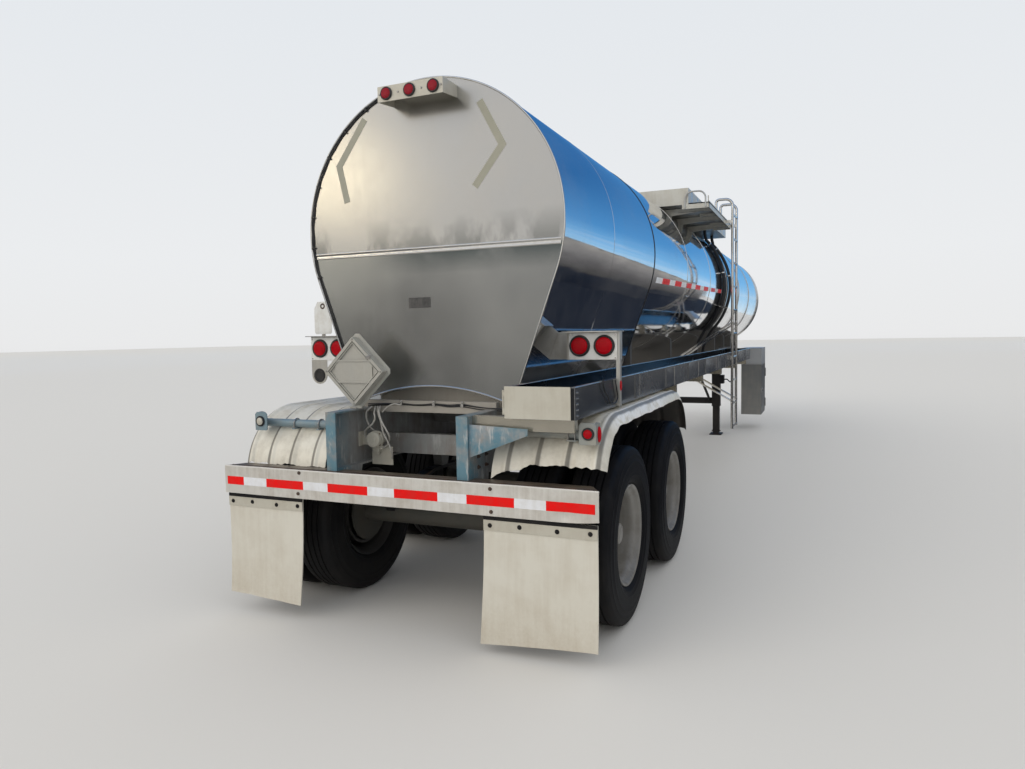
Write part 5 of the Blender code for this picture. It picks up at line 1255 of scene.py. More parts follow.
def fender_path(rise=0.0):
    """(y, z) points and normals over both wheels. The rear edge ends higher by the rise."""
    def end_arc(edge):
        lowest = math.degrees(math.asin((edge - FENDER_Z) / FENDER_R))
        turns = [math.radians(180 - lowest - (90 - lowest) * i / 22) for i in range(23)]
        return [(fore(FENDER_Y) + FENDER_R * math.cos(a), FENDER_Z + FENDER_R * math.sin(a), math.cos(a),
            math.sin(a)) for a in turns]
    middle = (AXLES["rear"] + AXLES["front"]) / 2
    path = end_arc(FENDER_EDGE + rise)
    front = [(2 * middle - y, z, -ny, nz) for y, z, ny, nz in end_arc(FENDER_EDGE)[::-1]]
    last, first = path[-1], front[0]
    level = [(last[0] + (first[0] - last[0]) * i / 24, last[1], 0.0, 1.0) for i in range(1, 24)]
    return path + level + front


def fender_shape(hand):
    """The ribbed sheet, with ragged ends, a scraped outer edge and shallow knocks."""
    steps = 84
    bm = bmesh.new()
    top, under = [], []
    for j in range(steps + 1):
        share = j / steps
        x = FENDER_X[0] + (FENDER_X[1] - FENDER_X[0]) * (1.06 * share - 0.06 * share ** 9)
        away = abs((share * RIBS) % 1.0 - 0.5)
        rib = 0.010 * math.cos(away * math.pi / 0.30) if away < 0.15 else 0.0
        outer = max(0.0, (x - 1.14) / 0.06)
        outer_row, inner_row = [], []
        for i, (y, z, ny, nz) in enumerate(fender_path(0.082 * min(1.0, 3 * share) ** 0.8 if hand > 0
                else 0.0)):
            rear = max(0.0, 1 - i / 4.0)
            bump = 0.0035 * noise.noise(Vector((x * 4, y * 3, hand * 5)))
            ragged = rear * (0.014 * noise.noise(Vector((x * 9, hand * 7, 1))) + 0.011
                * noise.noise(Vector((x * 34, hand * 3, 2))))
            knock = 0.014 * outer * max(0.0, noise.noise(Vector((y * 5, hand, 9)))) if nz > 0.9 else 0.0
            out = rib + bump + 0.0035 - 0.055 * max(0.0, (x - 1.168) / 0.032) ** 1.4
            px = x - outer * 0.016 * max(0.0, noise.noise(Vector((y * 8, hand * 2, 4))))
            py, pz = y + ny * out - ragged * nz, z + nz * (out - knock) + ragged * abs(ny)
            outer_row.append(bm.verts.new((px, py, pz)))
            inner_row.append(bm.verts.new((px, py - ny * 0.003, pz - nz * 0.003)))
        top.append(outer_row)
        under.append(inner_row)
    last = len(top[0]) - 1
    for rows, look in ((top, 0), (under, 1)):
        for one, two in zip(rows, rows[1:]):
            for i in range(last):
                bm.faces.new((one[i], one[i + 1], two[i + 1], two[i])).material_index = look
    for one, two in ((top[0], under[0]), (top[-1], under[-1])):
        for i in range(last):
            bm.faces.new((one[i], one[i + 1], two[i + 1], two[i]))
    for i in (0, last):
        for j in range(steps):
            bm.faces.new((top[j][i], top[j + 1][i], under[j + 1][i], under[j][i]))
    return closed(bm)


def u_bolt(x, y, z, radius, drop, thick=0.005):
    """A round bar bent over a pipe, its legs going down."""
    over = [(x, y + radius * math.cos(a), z + radius * math.sin(a)) for a
        in [math.pi * i / 10 for i in range(11)]]
    return tube([(x, y + radius, z - drop), *over, (x, y - radius, z - drop)], thick, 8)


ARM_Z = 1.180
ARM_Y = fore(FENDER_Y - math.sqrt((FENDER_R + 0.004 + 0.012 + 0.0003 + 0.025) ** 2 - (ARM_Z - FENDER_Z) ** 2))
for hand, side in ((1, "right"), (-1, "left")):
    shape = fender_shape(hand)
    piece(f"fender_sheet_{side}", shape if hand > 0 else mirrored(shape), ["fender", "fender_under"],
        f"fender_{side}", smooth=50)
    tip = 1.160 if hand > 0 else 1.092
    pipe = turned([(0.4705, 0), (0.4705, 0.020), (0.4720, 0.0235), (0.476, 0.025), (tip - 0.010, 0.025),
        (tip - 0.002, 0.0235), (tip, 0.020), (tip, 0)], "X", (0, ARM_Y, ARM_Z), 24)
    held = (0.640, 0.680, 0.985, 1.025) if hand > 0 else (0.656, 0.845)
    straps = [u_bolt(x, ARM_Y, ARM_Z, 0.030, 0.030) for x in held]
    middle = ARM_Y - 0.051
    tab = [(middle + 0.045, ARM_Z - 0.030), *arc((middle, ARM_Z + 0.030), 0.045, 0, 180, 16),
        (middle - 0.045, ARM_Z - 0.030), (middle - 0.036, ARM_Z - 0.040), (middle + 0.036, ARM_Z - 0.040)]
    plate = prism(tab, "X", 1.1485, 1.1635)
    facing = [(1.070, ARM_Z - 0.034), (1.078, ARM_Z - 0.040), (1.1635, ARM_Z - 0.040),
        (1.1635, ARM_Z + 0.062), (1.150, ARM_Z + 0.076), (1.084, ARM_Z + 0.076), (1.070, ARM_Z + 0.062)]
    back = prism(facing, "Y", middle - 0.049, middle - 0.041)
    lamp_at = (1.120, middle - 0.049, ARM_Z + 0.018)
    grommet = turned([(0.0, 0.0), (-0.006, 0.0), (-0.006, 0.023), (-0.010, 0.0245), (-0.010, 0.031),
        (-0.004, 0.034), (0.0, 0.034)], "Y", lamp_at, 28)
    small = turned([(-0.017, 0), (-0.0165, 0.010), (-0.014, 0.018), (-0.010, 0.0235), (-0.004, 0.0245),
        (-0.004, 0)], "Y", lamp_at, 28)
    oval = turned([(0.0125, 0), (0.0115, 0.014), (0.0075, 0.022), (0.001, 0.025), (0.001, 0)], "X",
        (1.1635, middle, ARM_Z + 0.012), 28)
    bmesh.ops.scale(oval, vec=(1, 1, 1.75), space=Matrix.Translation((-1.1635, -middle, -ARM_Z - 0.012)),
        verts=oval.verts)
    saddles = [box((x - 0.006, x + (0.046 if hand > 0 else 0.012)), (ARM_Y - 0.036, ARM_Y + 0.036),
        (ARM_Z - 0.0345, ARM_Z - 0.0265)) for x in held[::2 if hand > 0 else 1]]
    end_parts = merged(plate, back, dyed(grommet, 3), dyed(small, 2 if hand > 0 else 4),
        dyed(oval, 2 if hand > 0 else 4))
    bmesh.ops.translate(end_parts, verts=end_parts.verts, vec=(tip - 1.160, 0, 0))
    parts = [pipe, end_parts, *each_dyed(1, *straps), *saddles]
    shape = merged(*parts)
    piece(f"fender_pipe_{side}", shape if hand > 0 else mirrored(shape),
        ["arm_blue", "brushed", "lens", "rubber", "cream"], f"fender_arm_{side}", bevel=0.001, smooth=40)
print("fenders:", COUNT)

# %% [markdown]
# ## Frame and running gear
# The frame, the hangers and the axles keep the solid model's shapes, with their edges rounded and
# their bolts added. The leaf springs are built leaf by leaf, each shorter than the one above it.

# %% Frame and running gear
RAIL_X = 0.470
SPRING_Z, SPRING_REACH = 0.735, 0.500


def web_bolts(places, look="brushed", width=0.017):
    """Bolt heads on both sides of the frame, on the rails' outer faces."""
    points = []
    for side in (-1, 1):
        points += [((side * RAIL_X, fore(at), z), (side, 0, 0)) for at, z in places]
    return bolts(look, points, width, 0.011, 6, 1.45, 0.5)


HANGERS = (0.224, 1.3785, 2.533)
rail_bolts = web_bolts([(at + step, z) for at in HANGERS for step in (-0.050, 0.050) for z in (0.985, 1.045)]
    + [(at + step, 1.160) for at in (1.365, 1.395, 2.555, 2.585) for step in (0,)] + [(at,
    1.180) for at in (3.94, 5.74, 7.54)])
softened("frame", ["frame", "rusty"], 0.002, extra=[dyed(rail_bolts, 1)])


def leaf_pack(at, side):
    """Leaves under one another, bowed down in the middle, each shorter than the one above."""
    shapes = []
    x = sorted((side * 0.4008, side * 0.4692))
    for i, share in enumerate((1.0, 0.92, 0.76, 0.55)):
        path, under = [], []
        for k in range(25):
            s = share * (-1 + k / 12)
            middle = SPRING_Z - 0.055 * (1 - s * s)
            thick = 0.030 * (2.2 - 1.2 * abs(s)) / 4
            top = middle + thick * (2 - i)
            path.append((fore(at + s * SPRING_REACH), top - 0.0006))
            under.append((fore(at + s * SPRING_REACH), top - thick + 0.0012))
        shapes.append(prism(path + under[::-1], "X", *x))
    for shift in (-0.27, 0.27, -0.05, 0.05):
        wide = 0.011 if abs(shift) > 0.1 else 0.008
        y, z = fore(at + shift), SPRING_Z - 0.055 * (1 - (shift / SPRING_REACH) ** 2)
        half = 0.030 if abs(shift) > 0.1 else 0.036
        shapes.append(box(sorted((side * 0.3992, side * 0.4708)), (y - wide, y + wide), (z - half, z + half)))
    return shapes


for side, name in ((1, "right"), (-1, "left")):
    leaves = [dyed(shape, 1) for at in (0.724, 2.033) for shape in leaf_pack(at, side)]
    softened(f"springs_{name}", ["black", "rusty"], 0.0015, extra=leaves)
for name in ("rear", "front"):
    at = AXLES[name]
    ends = []
    for side in (-1, 1):
        ends += [((side * x, at - 0.001, 0.526 + 0.074), (0, 0, 1)) for x in (0.412, 0.458)]
    softened(f"axle_{name}", ["dusty_steel", "rusty"], 0.002, extra=[dyed(bolts("rusty", ends, 0.022, 0.016,
        6, 1.4, 0.6), 1)])
print("frame and axles:", COUNT)

# %% [markdown]
# ## Hose tray
# The tray is a folded trough. Its walls carry rolled lips and upright folds, and its rear end is a
# creased cream plate on small hinges. A bent black hook hangs on its side. On the frame's sill behind
# it, wires run under three bright clamps.

# %% Hose tray
TRAY_Y = (0.030, 9.000)


def creased(low, high, bottom, top, y, thick, depth, seed):
    """An upright sheet across the trailer, with shallow creases and dents in its face."""
    rows = []
    for i in range(19):
        z = bottom + (top - bottom) * i / 18
        row = []
        for j in range(37):
            x = low + (high - low) * j / 36
            edge = min(1.0, 8 * min(i / 18, 1 - i / 18), 8 * min(j / 36, 1 - j / 36))
            dent = noise.noise(Vector((x * 6, z * 7, seed))) + 0.5 * noise.noise(Vector((x * 17, z * 15,
                seed)))
            row.append((x, y + depth * edge * (0.35 + 0.65 * max(0.0, dent)), z))
        rows.append(row)
    return thin_sheet(rows, (0, thick, 0))


tray_ends = (fore(TRAY_Y[0] + 0.005), fore(TRAY_Y[1] - 0.005))
lips = [tube([(x, tray_ends[0], 1.4465), (x, tray_ends[1], 1.4465)], 0.0034, 12) for x in (0.718, 1.072)]
softened("hose_tray", "tray", 0.001)
softened("tray_wall_inner", ["tray", "bright_trim"], 0.001, extra=[dyed(lips[0], 1)])
folds = grown("bars", "tray", Count=7, Start=(1.0912, fore(1.42), 1.364), Step=(0, 1.22, 0),
    Size=(0.0024, 0.012, 0.150))
edge_lip = tube([(1.0885, tray_ends[0], 1.4480), (1.0885, tray_ends[1], 1.4480)], 0.0032, 12)
rivets = bolts("brushed", [((1.090, fore(at), z), (1, 0, 0)) for at in (0.060, 0.078) for z in (1.30, 1.33,
    1.36, 1.39, 1.42)], 0.008, 0.003, 12, 1.0, 0.3)
softened("tray_wall_outer", ["tray", "bright_trim"], 0.001, extra=[folds, dyed(lips[1], 1), dyed(edge_lip, 1),
    dyed(rivets, 1)])
end = creased(0.7005, 1.0660, 1.2805, 1.4495, fore(0.030), 0.0016, 0.0018, 3)
hem = [box((0.700, 1.0665), (fore(0.030), fore(0.034)), (1.4475, 1.450)),
    box((0.700, 0.7045), (fore(0.030), fore(0.034)), (1.2805, 1.450)),
    box((1.0625, 1.0665), (fore(0.030), fore(0.034)), (1.2805, 1.450)),
    dyed(box((1.0670, 1.090), (fore(0.032), fore(0.034)), (1.2805, 1.449)), 1)]
hinge = tube([(0.692, fore(0.036), 1.30), (0.692, fore(0.036), 1.43)], 0.006, 12)
straps = [box((0.688, 0.702), (fore(0.031), fore(0.041)), (z, z + 0.022)) for z in (1.305, 1.40)]
piece("tray_end_plate", merged(end, *hem, hinge, *straps), ["cream", "tray"], "tray_end_rear", bevel=0.0006)
softened("tray_end_front", "tray", 0.0008)
hook = flowing([(1.0990, fore(0.505), 1.4560), (1.1010, fore(0.500), 1.4300), (1.1015, fore(0.530), 1.3900),
    (1.1010, fore(0.600), 1.3500), (1.1010, fore(0.640), 1.3150), (1.1015, fore(0.740), 1.3060),
    (1.1015, fore(0.800), 1.3300), (1.1010, fore(0.790), 1.3800), (1.0990, fore(0.760), 1.4400)], 8)
piece("tray_hook", merged(tube(hook, 0.0042, 10), tube([(1.098, fore(0.498), 1.452),
    (1.098, fore(0.77), 1.452)], 0.0040, 10)), "rubber")


def strung(points, radius, steps=8, sides=10):
    return tube(flowing(points, steps), radius, sides)


SILL = fore(0.432)
sill_wires = []
for k, (drop, ahead) in enumerate(((0.0, 0.0), (-0.009, 0.004), (-0.002, 0.010))):
    wave = [(x, SILL + ahead, z + drop + 0.003 * math.sin(7 * x + 2 * k)) for x,
        z in ((-0.430, 1.296), (-0.300, 1.300), (-0.181, 1.304), (-0.06, 1.299), (0.050, 1.305),
        (0.150, 1.299), (0.245, 1.304), (0.330, 1.294), (0.400, 1.288), (0.455, 1.287), (0.520, 1.284))]
    sill_wires.append(strung(wave, 0.0036))
clamps = []
for x in (-0.181, 0.050, 0.245):
    clamps += [box((x - 0.009, x + 0.009), (SILL - 0.006, SILL + 0.0078), (1.3085, 1.3115)),
        box((x - 0.009, x + 0.009), (SILL - 0.0070, SILL - 0.0045), (1.2900, 1.3115)),
        box((x - 0.007, x + 0.007), (SILL - 0.004, SILL + 0.0078), (1.3115, 1.3240))]
clamps.append(bolts("brushed", [((x, SILL - 0.004, 1.3175), BACKWARD) for x in (-0.181, 0.050, 0.245)], 0.012,
    0.008, 6, 1.2, 0.5))
piece("sill_wires", merged(*sill_wires, *each_dyed(1, *clamps)), ["rubber", "bright_trim"])
print("tray:", COUNT)

# %% [markdown]
# ## Lamps, placard holder and valve
# Round lamps sit in black rubber rings, over a white face plate in each lamp box. The placard holder
# is a shallow aluminium box with a loose inner frame, slats and a latch. Grey hoses hang in loops
# between the relay valve and the sill.

# %% Lamps
def round_lamp(x, y, z, radius, depth=0.020, look=0, ring=1):
    """A domed lens in a rubber ring, facing backwards from a plate at y."""
    share = radius / 0.066
    lens_shape = turned([(y - depth, 0), (y - depth * 0.985, radius * 0.33),
        (y - depth * 0.92, radius * 0.57), (y - depth * 0.78, radius * 0.73),
        (y - depth * 0.60, radius * 0.785), (y - 0.0005, radius * 0.79), (y - 0.0005, 0)], "Y", (x, 0, z), 48)
    rubber = turned([(y - 0.0002, radius * 0.75), (y - depth * 0.50, radius * 0.775),
        (y - depth * 0.66, radius * 0.81), (y - depth * 0.68, radius * 0.90),
        (y - depth * 0.45, radius * 0.985), (y - 0.0002, radius)], "Y", (x, 0, z), 48, loop=True)
    ridges = [turned([(y - depth * d - 0.0008 * share, radius * r - 0.0012),
        (y - depth * d - 0.0016 * share, radius * r), (y - depth * d - 0.0008 * share, radius * r + 0.0012),
        (y - depth * d, radius * r)], "Y", (x, 0, z), 48, loop=True) for d,
        r in ((0.955, 0.40), (0.90, 0.56))]
    return [dyed(lens_shape, look), *[dyed(ridge, look) for ridge in ridges], dyed(rubber, ring)]


LAMP_Y, LAMP_Z, LAMP_RADIUS = fore(0.8097), 1.645, 0.066
for side, out, sign in (("right", 0.0, 1), ("left", 0.064, -1)):
    for which, x in (("inner", 0.864), ("outer", 1.019)):
        piece(f"lens_{side}_{which}", merged(*round_lamp(sign * (x + out), LAMP_Y, LAMP_Z, LAMP_RADIUS)),
            ["lens", "rubber"], f"tail_lamp_{side}_{which}", smooth=60)
    low, high = 0.783 + out, 1.100 + out
    face_y = (fore(0.8085), fore(0.8100))
    plate = box((low + 0.012, high - 0.002), face_y, (1.563, 1.722))
    lip = box((low - 0.018, high + 0.010), (fore(0.759), fore(0.761)), (1.7285, 1.7335))
    screws = bolts("brushed", [((x, fore(0.8085), z), BACKWARD) for x in (low + 0.022,
        high - 0.012) for z in (1.572, 1.712)], 0.008, 0.003, 12, 1.3, 0.3)
    parts = [dyed(plate, 1), dyed(lip, 2), dyed(screws, 2)]
    if sign > 0:
        marker = turned([(0.0065, 0), (0.0060, 0.010), (0.0040, 0.0165), (0.0, 0.0190), (0.0, 0)], "X",
            (1.112, fore(0.835), 1.404), 28)
        bmesh.ops.scale(marker, vec=(1, 1, 1.75), space=Matrix.Translation((-1.112, -fore(0.835), -1.404)),
            verts=marker.verts)
        parts.append(dyed(marker, 3))
    else:
        parts = [mirrored(part) for part in parts]
        ring = turned([(fore(0.8110), 0.030), (fore(0.8060), 0.034), (fore(0.8060), 0.046),
            (fore(0.8110), 0.050)], "Y", (-1.098, 0, 1.452), 36, loop=True)
        disc = turned([(fore(0.8100), 0), (fore(0.8100), 0.033), (fore(0.8112), 0.033), (fore(0.8112), 0)],
            "Y", (-1.098, 0, 1.452), 36)
        parts += [dyed(ring, 4), dyed(disc, 4)]
    softened(f"lamp_box_{side}", ["aluminium", "sign_white", "bright_trim", "lens", "rubber"], 0.0015,
        extra=parts)

bar_lamps = []
for x in (-0.158, 0.0, 0.158):
    bar_lamps += [dyed(shape, shape_look) for shape, shape_look in zip(round_lamp(x, fore(0.3195), 3.155,
        0.039, 0.018), (1, 1, 1, 2))]
bar_screws = bolts("brushed", [((x, fore(0.320), 3.155), BACKWARD) for x in (-0.079, 0.079, -0.208, 0.208)],
    0.011, 0.004, 12, 1.3, 0.3)
softened("roof_lamp_bar", ["cream", "lens_dark", "rubber", "brushed"], 0.0015,
    extra=[*bar_lamps, dyed(bar_screws, 3)])

# %% Blank licence plate
PLATE_Y = fore(0.800)
low, high = -1.119, -0.971
plate = prism([(low, 1.760), (low + 0.012, 1.747), (high - 0.012, 1.747), (high, 1.760), (high, 1.930),
    (high - 0.030, 1.977), (low + 0.030, 1.977), (low, 1.930)], "Y", PLATE_Y, PLATE_Y + 0.002)
frame_edge = prism([(low + 0.008, 1.758), (high - 0.008, 1.758), (high - 0.008, 1.772), (low + 0.008, 1.772)],
    "Y", PLATE_Y - 0.001, PLATE_Y)
holder = box((-1.060, -1.030), (PLATE_Y + 0.002, PLATE_Y + 0.006), (1.7338, 1.960))
hole = turned([(PLATE_Y - 0.0014, 0.010), (PLATE_Y - 0.0014, 0.019), (PLATE_Y, 0.021), (PLATE_Y, 0.010)], "Y",
    (-1.045, 0, 1.945), 28, loop=True)
piece("licence_plate", merged(plate, frame_edge, dyed(holder, 1), dyed(hole, 2)),
    ["sign_white", "brushed", "rusty"], bevel=0.0004)

# %% Placard holder
PX, PY, PZ = -0.400, fore(0.250), 1.512
HALF = 0.300 / math.sqrt(2)


def diamond(reach, y0, y1, round_off=0.0):
    """A square stood on its corner, its corners cut back where asked."""
    r, c = reach, round_off
    return prism([(PX + r, PZ - c), (PX + r, PZ + c), (PX + c, PZ + r), (PX - c, PZ + r), (PX - r, PZ + c),
        (PX - r, PZ - c), (PX - c, PZ - r), (PX + c, PZ - r)] if c else [(PX + r, PZ), (PX, PZ + r),
        (PX - r, PZ), (PX, PZ - r)], "Y", y0, y1)


def diamond_frame(outer, inner, y0, y1):
    bars = []
    outside = [(PX + outer, PZ), (PX, PZ + outer), (PX - outer, PZ), (PX, PZ - outer)]
    inside = [(PX + inner, PZ), (PX, PZ + inner), (PX - inner, PZ), (PX, PZ - inner)]
    for i in range(4):
        j = (i + 1) % 4
        bars.append(prism([outside[i], outside[j], inside[j], inside[i]], "Y", y0, y1))
    return bars


slats = [box((PX - reach, PX + reach), (PY - 0.0075, PY - 0.003), (PZ + low, PZ + low + tall)) for reach, low,
    tall in ((0.128, 0.0600, 0.012), (0.118, -0.0700, 0.012))]
cards = [box((PX - reach, PX + reach), (PY - 0.003, PY + 0.001), (PZ + low, PZ + high)) for reach, low,
    high in ((0.135, -0.062, 0.058),)]
latch = [box((PX + 0.098, PX + 0.128), (PY - 0.0145, PY - 0.009), (PZ + 0.074, PZ + 0.096)),
    tube([(PX + 0.105, PY - 0.013, PZ + 0.088), (PX + 0.140, PY - 0.013, PZ + 0.104)], 0.0035, 10)]
pins = bolts("brushed", [((PX + x, PY - 0.010, PZ + z), BACKWARD) for x,
    z in ((0, 0.196), (0, -0.196), (0.196, 0), (-0.196, 0))], 0.010, 0.004, 12, 1.2, 0.3)
piece("placard_box", merged(diamond(HALF + 0.018, PY + 0.0445, PY + 0.050, 0.014),
    diamond(HALF - 0.002, PY + 0.0035, PY + 0.047, 0.004), *diamond_frame(HALF, HALF - 0.026, PY - 0.010,
    PY + 0.006), *diamond_frame(HALF - 0.034, HALF - 0.041, PY - 0.0085, PY + 0.004), *slats, *cards,
    *each_dyed(1, *latch, pins), box((PX - 0.025, PX + 0.020), (PY + 0.047, PY + 0.056), (1.2805, PZ)),
    box((-0.470, -0.400), (PY + 0.047, PY + 0.110), (1.2805, 1.292)), dyed(bolts("rusty",
    [((-0.435, PY + 0.085, 1.292), UPWARD)], 0.020, 0.012), 1)), ["placard", "brushed"], "placard_holder",
    bevel=0.0008)

# %% Relay valve and its hoses
VX, VY, VZ = -0.345, fore(0.390), 1.080
cap = turned(profile_from(VY, (-0.045, 0), (-0.0455, 0.016), (-0.043, 0.018), (-0.043, 0.034),
    (-0.0455, 0.036), (-0.044, 0.046), (-0.038, 0.050), (-0.012, 0.050), (-0.010, 0.054), (0.004, 0.054),
    (0.006, 0.049), (0.020, 0.049), (0.035, 0.032), (0.070, 0.032), (0.070, 0)), "Y", (VX, 0, VZ), 40)
lugs = bolts("rusty", [((VX + 0.047 * math.cos(a), VY - 0.012, VZ + 0.047 * math.sin(a)),
    BACKWARD) for a in (math.pi / 4 + math.pi / 2 * i for i in range(4))], 0.013, 0.010, 6, 1.0, 0.5)
body = [box((VX - 0.020, VX + 0.020), (VY - 0.010, VY + 0.030), (VZ - 0.080, VZ)),
    box((-0.4597, VX), (VY + 0.005, VY + 0.013), (VZ - 0.040, VZ + 0.020)),
    box((-0.4597, -0.4517), (VY - 0.030, VY + 0.050), (VZ - 0.045, VZ + 0.045)),
    box((-0.402, -0.248), (VY + 0.032, VY + 0.036), (VZ - 0.166, VZ - 0.050))]
ports = [turned([(z, 0), (z, 0.013), (z + 0.022, 0.013), (z + 0.022, 0)], "Z", (x, VY + 0.010, 0), 6) for x,
    z in ((VX - 0.028, VZ - 0.070), (VX + 0.028, VZ - 0.064), (VX, VZ - 0.098))]
piece("valve", merged(cap, *body, *ports, dyed(lugs, 1)), ["cream", "rusty"], "relay_valve", bevel=0.001)
HOSES = (((-0.346, 0.392, 1.284), (-0.322, 0.340, 1.252), (-0.312, 0.330, 1.215), (-0.340, 0.340, 1.180),
    (-0.385, 0.350, 1.150), (-0.420, 0.372, 1.120), (-0.404, 0.390, 1.060), (-0.375, 0.400, 1.010)),
    ((-0.312, 0.392, 1.286), (-0.285, 0.335, 1.262), (-0.262, 0.325, 1.205), (-0.236, 0.335, 1.150),
    (-0.224, 0.350, 1.110), (-0.240, 0.372, 1.075), (-0.276, 0.396, 1.040), (-0.317, 0.400, 1.018)),
    ((-0.158, 0.384, 1.300), (-0.200, 0.372, 1.306), (-0.240, 0.360, 1.286), (-0.272, 0.352, 1.255)),
    ((-0.330, 0.392, 1.285), (-0.300, 0.350, 1.250), (-0.276, 0.344, 1.190), (-0.266, 0.350, 1.125),
    (-0.236, 0.356, 1.065), (-0.222, 0.372, 1.000), (-0.240, 0.400, 0.960)),
    ((-0.372, 0.392, 1.284), (-0.392, 0.360, 1.255), (-0.400, 0.372, 1.200), (-0.380, 0.384, 1.150),
    (-0.345, 0.398, 1.120)))
hoses = [strung([(x, fore(at), z) for x, at, z in path], 0.0058 if i != 2 else 0.0042) for i,
    path in enumerate(HOSES)]
collars = [turned([(z - 0.012, 0.0068), (z - 0.012, 0.0092), (z + 0.012, 0.0092), (z + 0.012, 0.0068)], "Z",
    (x, fore(at), 0), 14, loop=True) for x, at, z in ((-0.375, 0.400, 1.012), (-0.346, 0.390, 1.276))]
piece("air_hoses", merged(*hoses, *each_dyed(1, *collars)), ["grey_hose", "brushed"])
print("lamps, placard and valve:", COUNT)

# %% [markdown]
# ## Ladder and platform
# The ladder's rails bend over on to the platform like handrails. Its tubes are round here, with weld
# beads at the rungs. The platform lies on shallow brackets that reach in to the tank, with a folded
# edge and a hand loop, and the spill dam beside it has a rolled rim.

# %% Ladder and platform
LADDER_X, LADDER_Y = 1.118, (6.350, 6.780)
DECK_Z, WALK_X = 3.150, 1.030
FIRST_RUNG, RUNG_PITCH, RUNGS = 0.480, 0.305, 10


def bent(points, radius, bend=0.05, sides=14):
    """A pipe whose corners are drawn round."""
    points = [Vector(p) for p in points]
    path = [points[0]]
    for before, here, after in zip(points, points[1:], points[2:]):
        back, ahead = (before - here), (after - here)
        cut = min(bend, back.length * 0.45, ahead.length * 0.45)
        one, two = here + back.normalized() * cut, here + ahead.normalized() * cut
        path += [(one * (1 - t) ** 2 + here * 2 * t * (1 - t) + two * t * t) for t in (0, 0.2, 0.4, 0.6, 0.8,
            1.0)]
    return tube(path + [points[-1]], radius, sides)


ladder_parts = []
for at in LADDER_Y:
    y = fore(at)
    over = arc((1.028, 3.322), 0.090, 0, 90, 10) + arc((0.952, 3.372), 0.040, 90, 180, 8)
    ladder_parts.append(tube([(LADDER_X, y, 0.460), *[(x, y, z) for x, z in over], (0.912, y, 3.1623)],
        0.0175, 16))
    ladder_parts.append(bent([(LADDER_X, y, 1.843), (0.450, y, 1.405), (0.450, y, 1.2803)], 0.0125, 0.04))
    ladder_parts.append(bent([(LADDER_X, y, 0.820), (0.510, y, 1.170), (0.4703, y, 1.170)], 0.0125, 0.04))
    for x, z, tall in ((1.0903, 1.360, 0.050), (1.0303, 3.105, 0.040)):
        ladder_parts.append(box((x, LADDER_X), (y - 0.020, y + 0.020), (z, z + tall)))
    for z in (0.820, 1.843):
        ladder_parts.append(turned([(z - 0.022, 0.0172), (z - 0.016, 0.0190), (z + 0.016, 0.0190),
            (z + 0.022, 0.0172)], "Z", (LADDER_X, y, 0), 18))
    ladder_parts.append(turned([(3.1623, 0), (3.1623, 0.034), (3.1663, 0.034), (3.1663, 0)], "Z",
        (0.912, y, 0), 20))
for i in range(RUNGS):
    z = FIRST_RUNG + RUNG_PITCH * i
    ladder_parts.append(tube([(LADDER_X, fore(LADDER_Y[0]), z), (LADDER_X, fore(LADDER_Y[1]), z)], 0.0125,
        14))
    for at, turn in ((LADDER_Y[0], 1), (LADDER_Y[1], -1)):
        y = fore(at) + turn * 0.0165
        ladder_parts.append(turned([(y, 0.0125), (y, 0.0165), (y + turn * 0.005, 0.0145),
            (y + turn * 0.008, 0.0125)], "Y", (LADDER_X, 0, z), 16))
piece("ladder_pipes", merged(*ladder_parts), "bright_trim", "ladder", smooth=40)

walk_y = (fore(4.950), fore(6.900))
inner_x = 0.8003
loop_path = [(0.764, 3.110), *arc((0.844, 3.206), 0.080, 180, 90, 10), *arc((0.911, 3.206), 0.080, 90, 0, 10),
    (0.991, 3.110)]
treads = grown("bars", "aluminium", Count=46, Start=(0.910, fore(4.99), 3.1626), Step=(0, 0.0415, 0),
    Size=(0.205, 0.014, 0.0024))
brackets = []
for share in (0.12, 0.5, 0.88):
    y = walk_y[0] + (walk_y[1] - walk_y[0]) * share
    outline = [*arc((0, TANK_Z), TANK_RADIUS + 0.0012, 50, 58, 6), (inner_x, 3.1497), (inner_x, 3.1502),
        (1.0268, 3.1502), (1.0268, 3.1100)]
    brackets += [prism(outline, "Y", y, y + 0.010), box((0.640, 1.020), (y, y + 0.040), (3.1000, 3.1060))]
platform = [box((inner_x, WALK_X), walk_y, (3.150, 3.162)), box((1.024, WALK_X), walk_y, (3.100, 3.172)),
    box((0.730, WALK_X), (walk_y[0], fore(4.9597)), (3.100, 3.162)), box((inner_x, WALK_X),
    (walk_y[1] - 0.006, walk_y[1]), (3.100, 3.162)), dyed(tube([(x, walk_y[0] - 0.006, z) for x,
    z in loop_path], 0.0095, 16), 1), tube([(1.027, walk_y[0] + 0.004, 3.172),
    (1.027, walk_y[1] - 0.004, 3.172)], 0.0032, 10), tube([(1.016, walk_y[0] + 0.03, 3.150),
    (1.016, walk_y[0] + 0.03, 3.235)], 0.006, 10)]
channels = [box((inner_x + 0.004, 1.020), (y, y + 0.030), (3.122, 3.1505)) for y
    in (walk_y[0] + 0.35 + 0.42 * i for i in range(4))]
piece("platform", merged(*platform, *brackets, *channels, dyed(treads, 1)), ["deck", "aluminium"], "walkway",
    bevel=0.0008)
DAM_Y = (fore(4.960), fore(8.200))
rim = [tube([(x, DAM_Y[0] + 0.006, 3.3312), (x, DAM_Y[1] - 0.006, 3.3312)], 0.0038, 10) for x in (-0.7960,
    0.7960)]
rim += [tube([(-0.794, y, 3.3312), (0.794, y, 3.3312)], 0.0038, 10) for y in (DAM_Y[0] + 0.004,
    DAM_Y[1] - 0.004)]
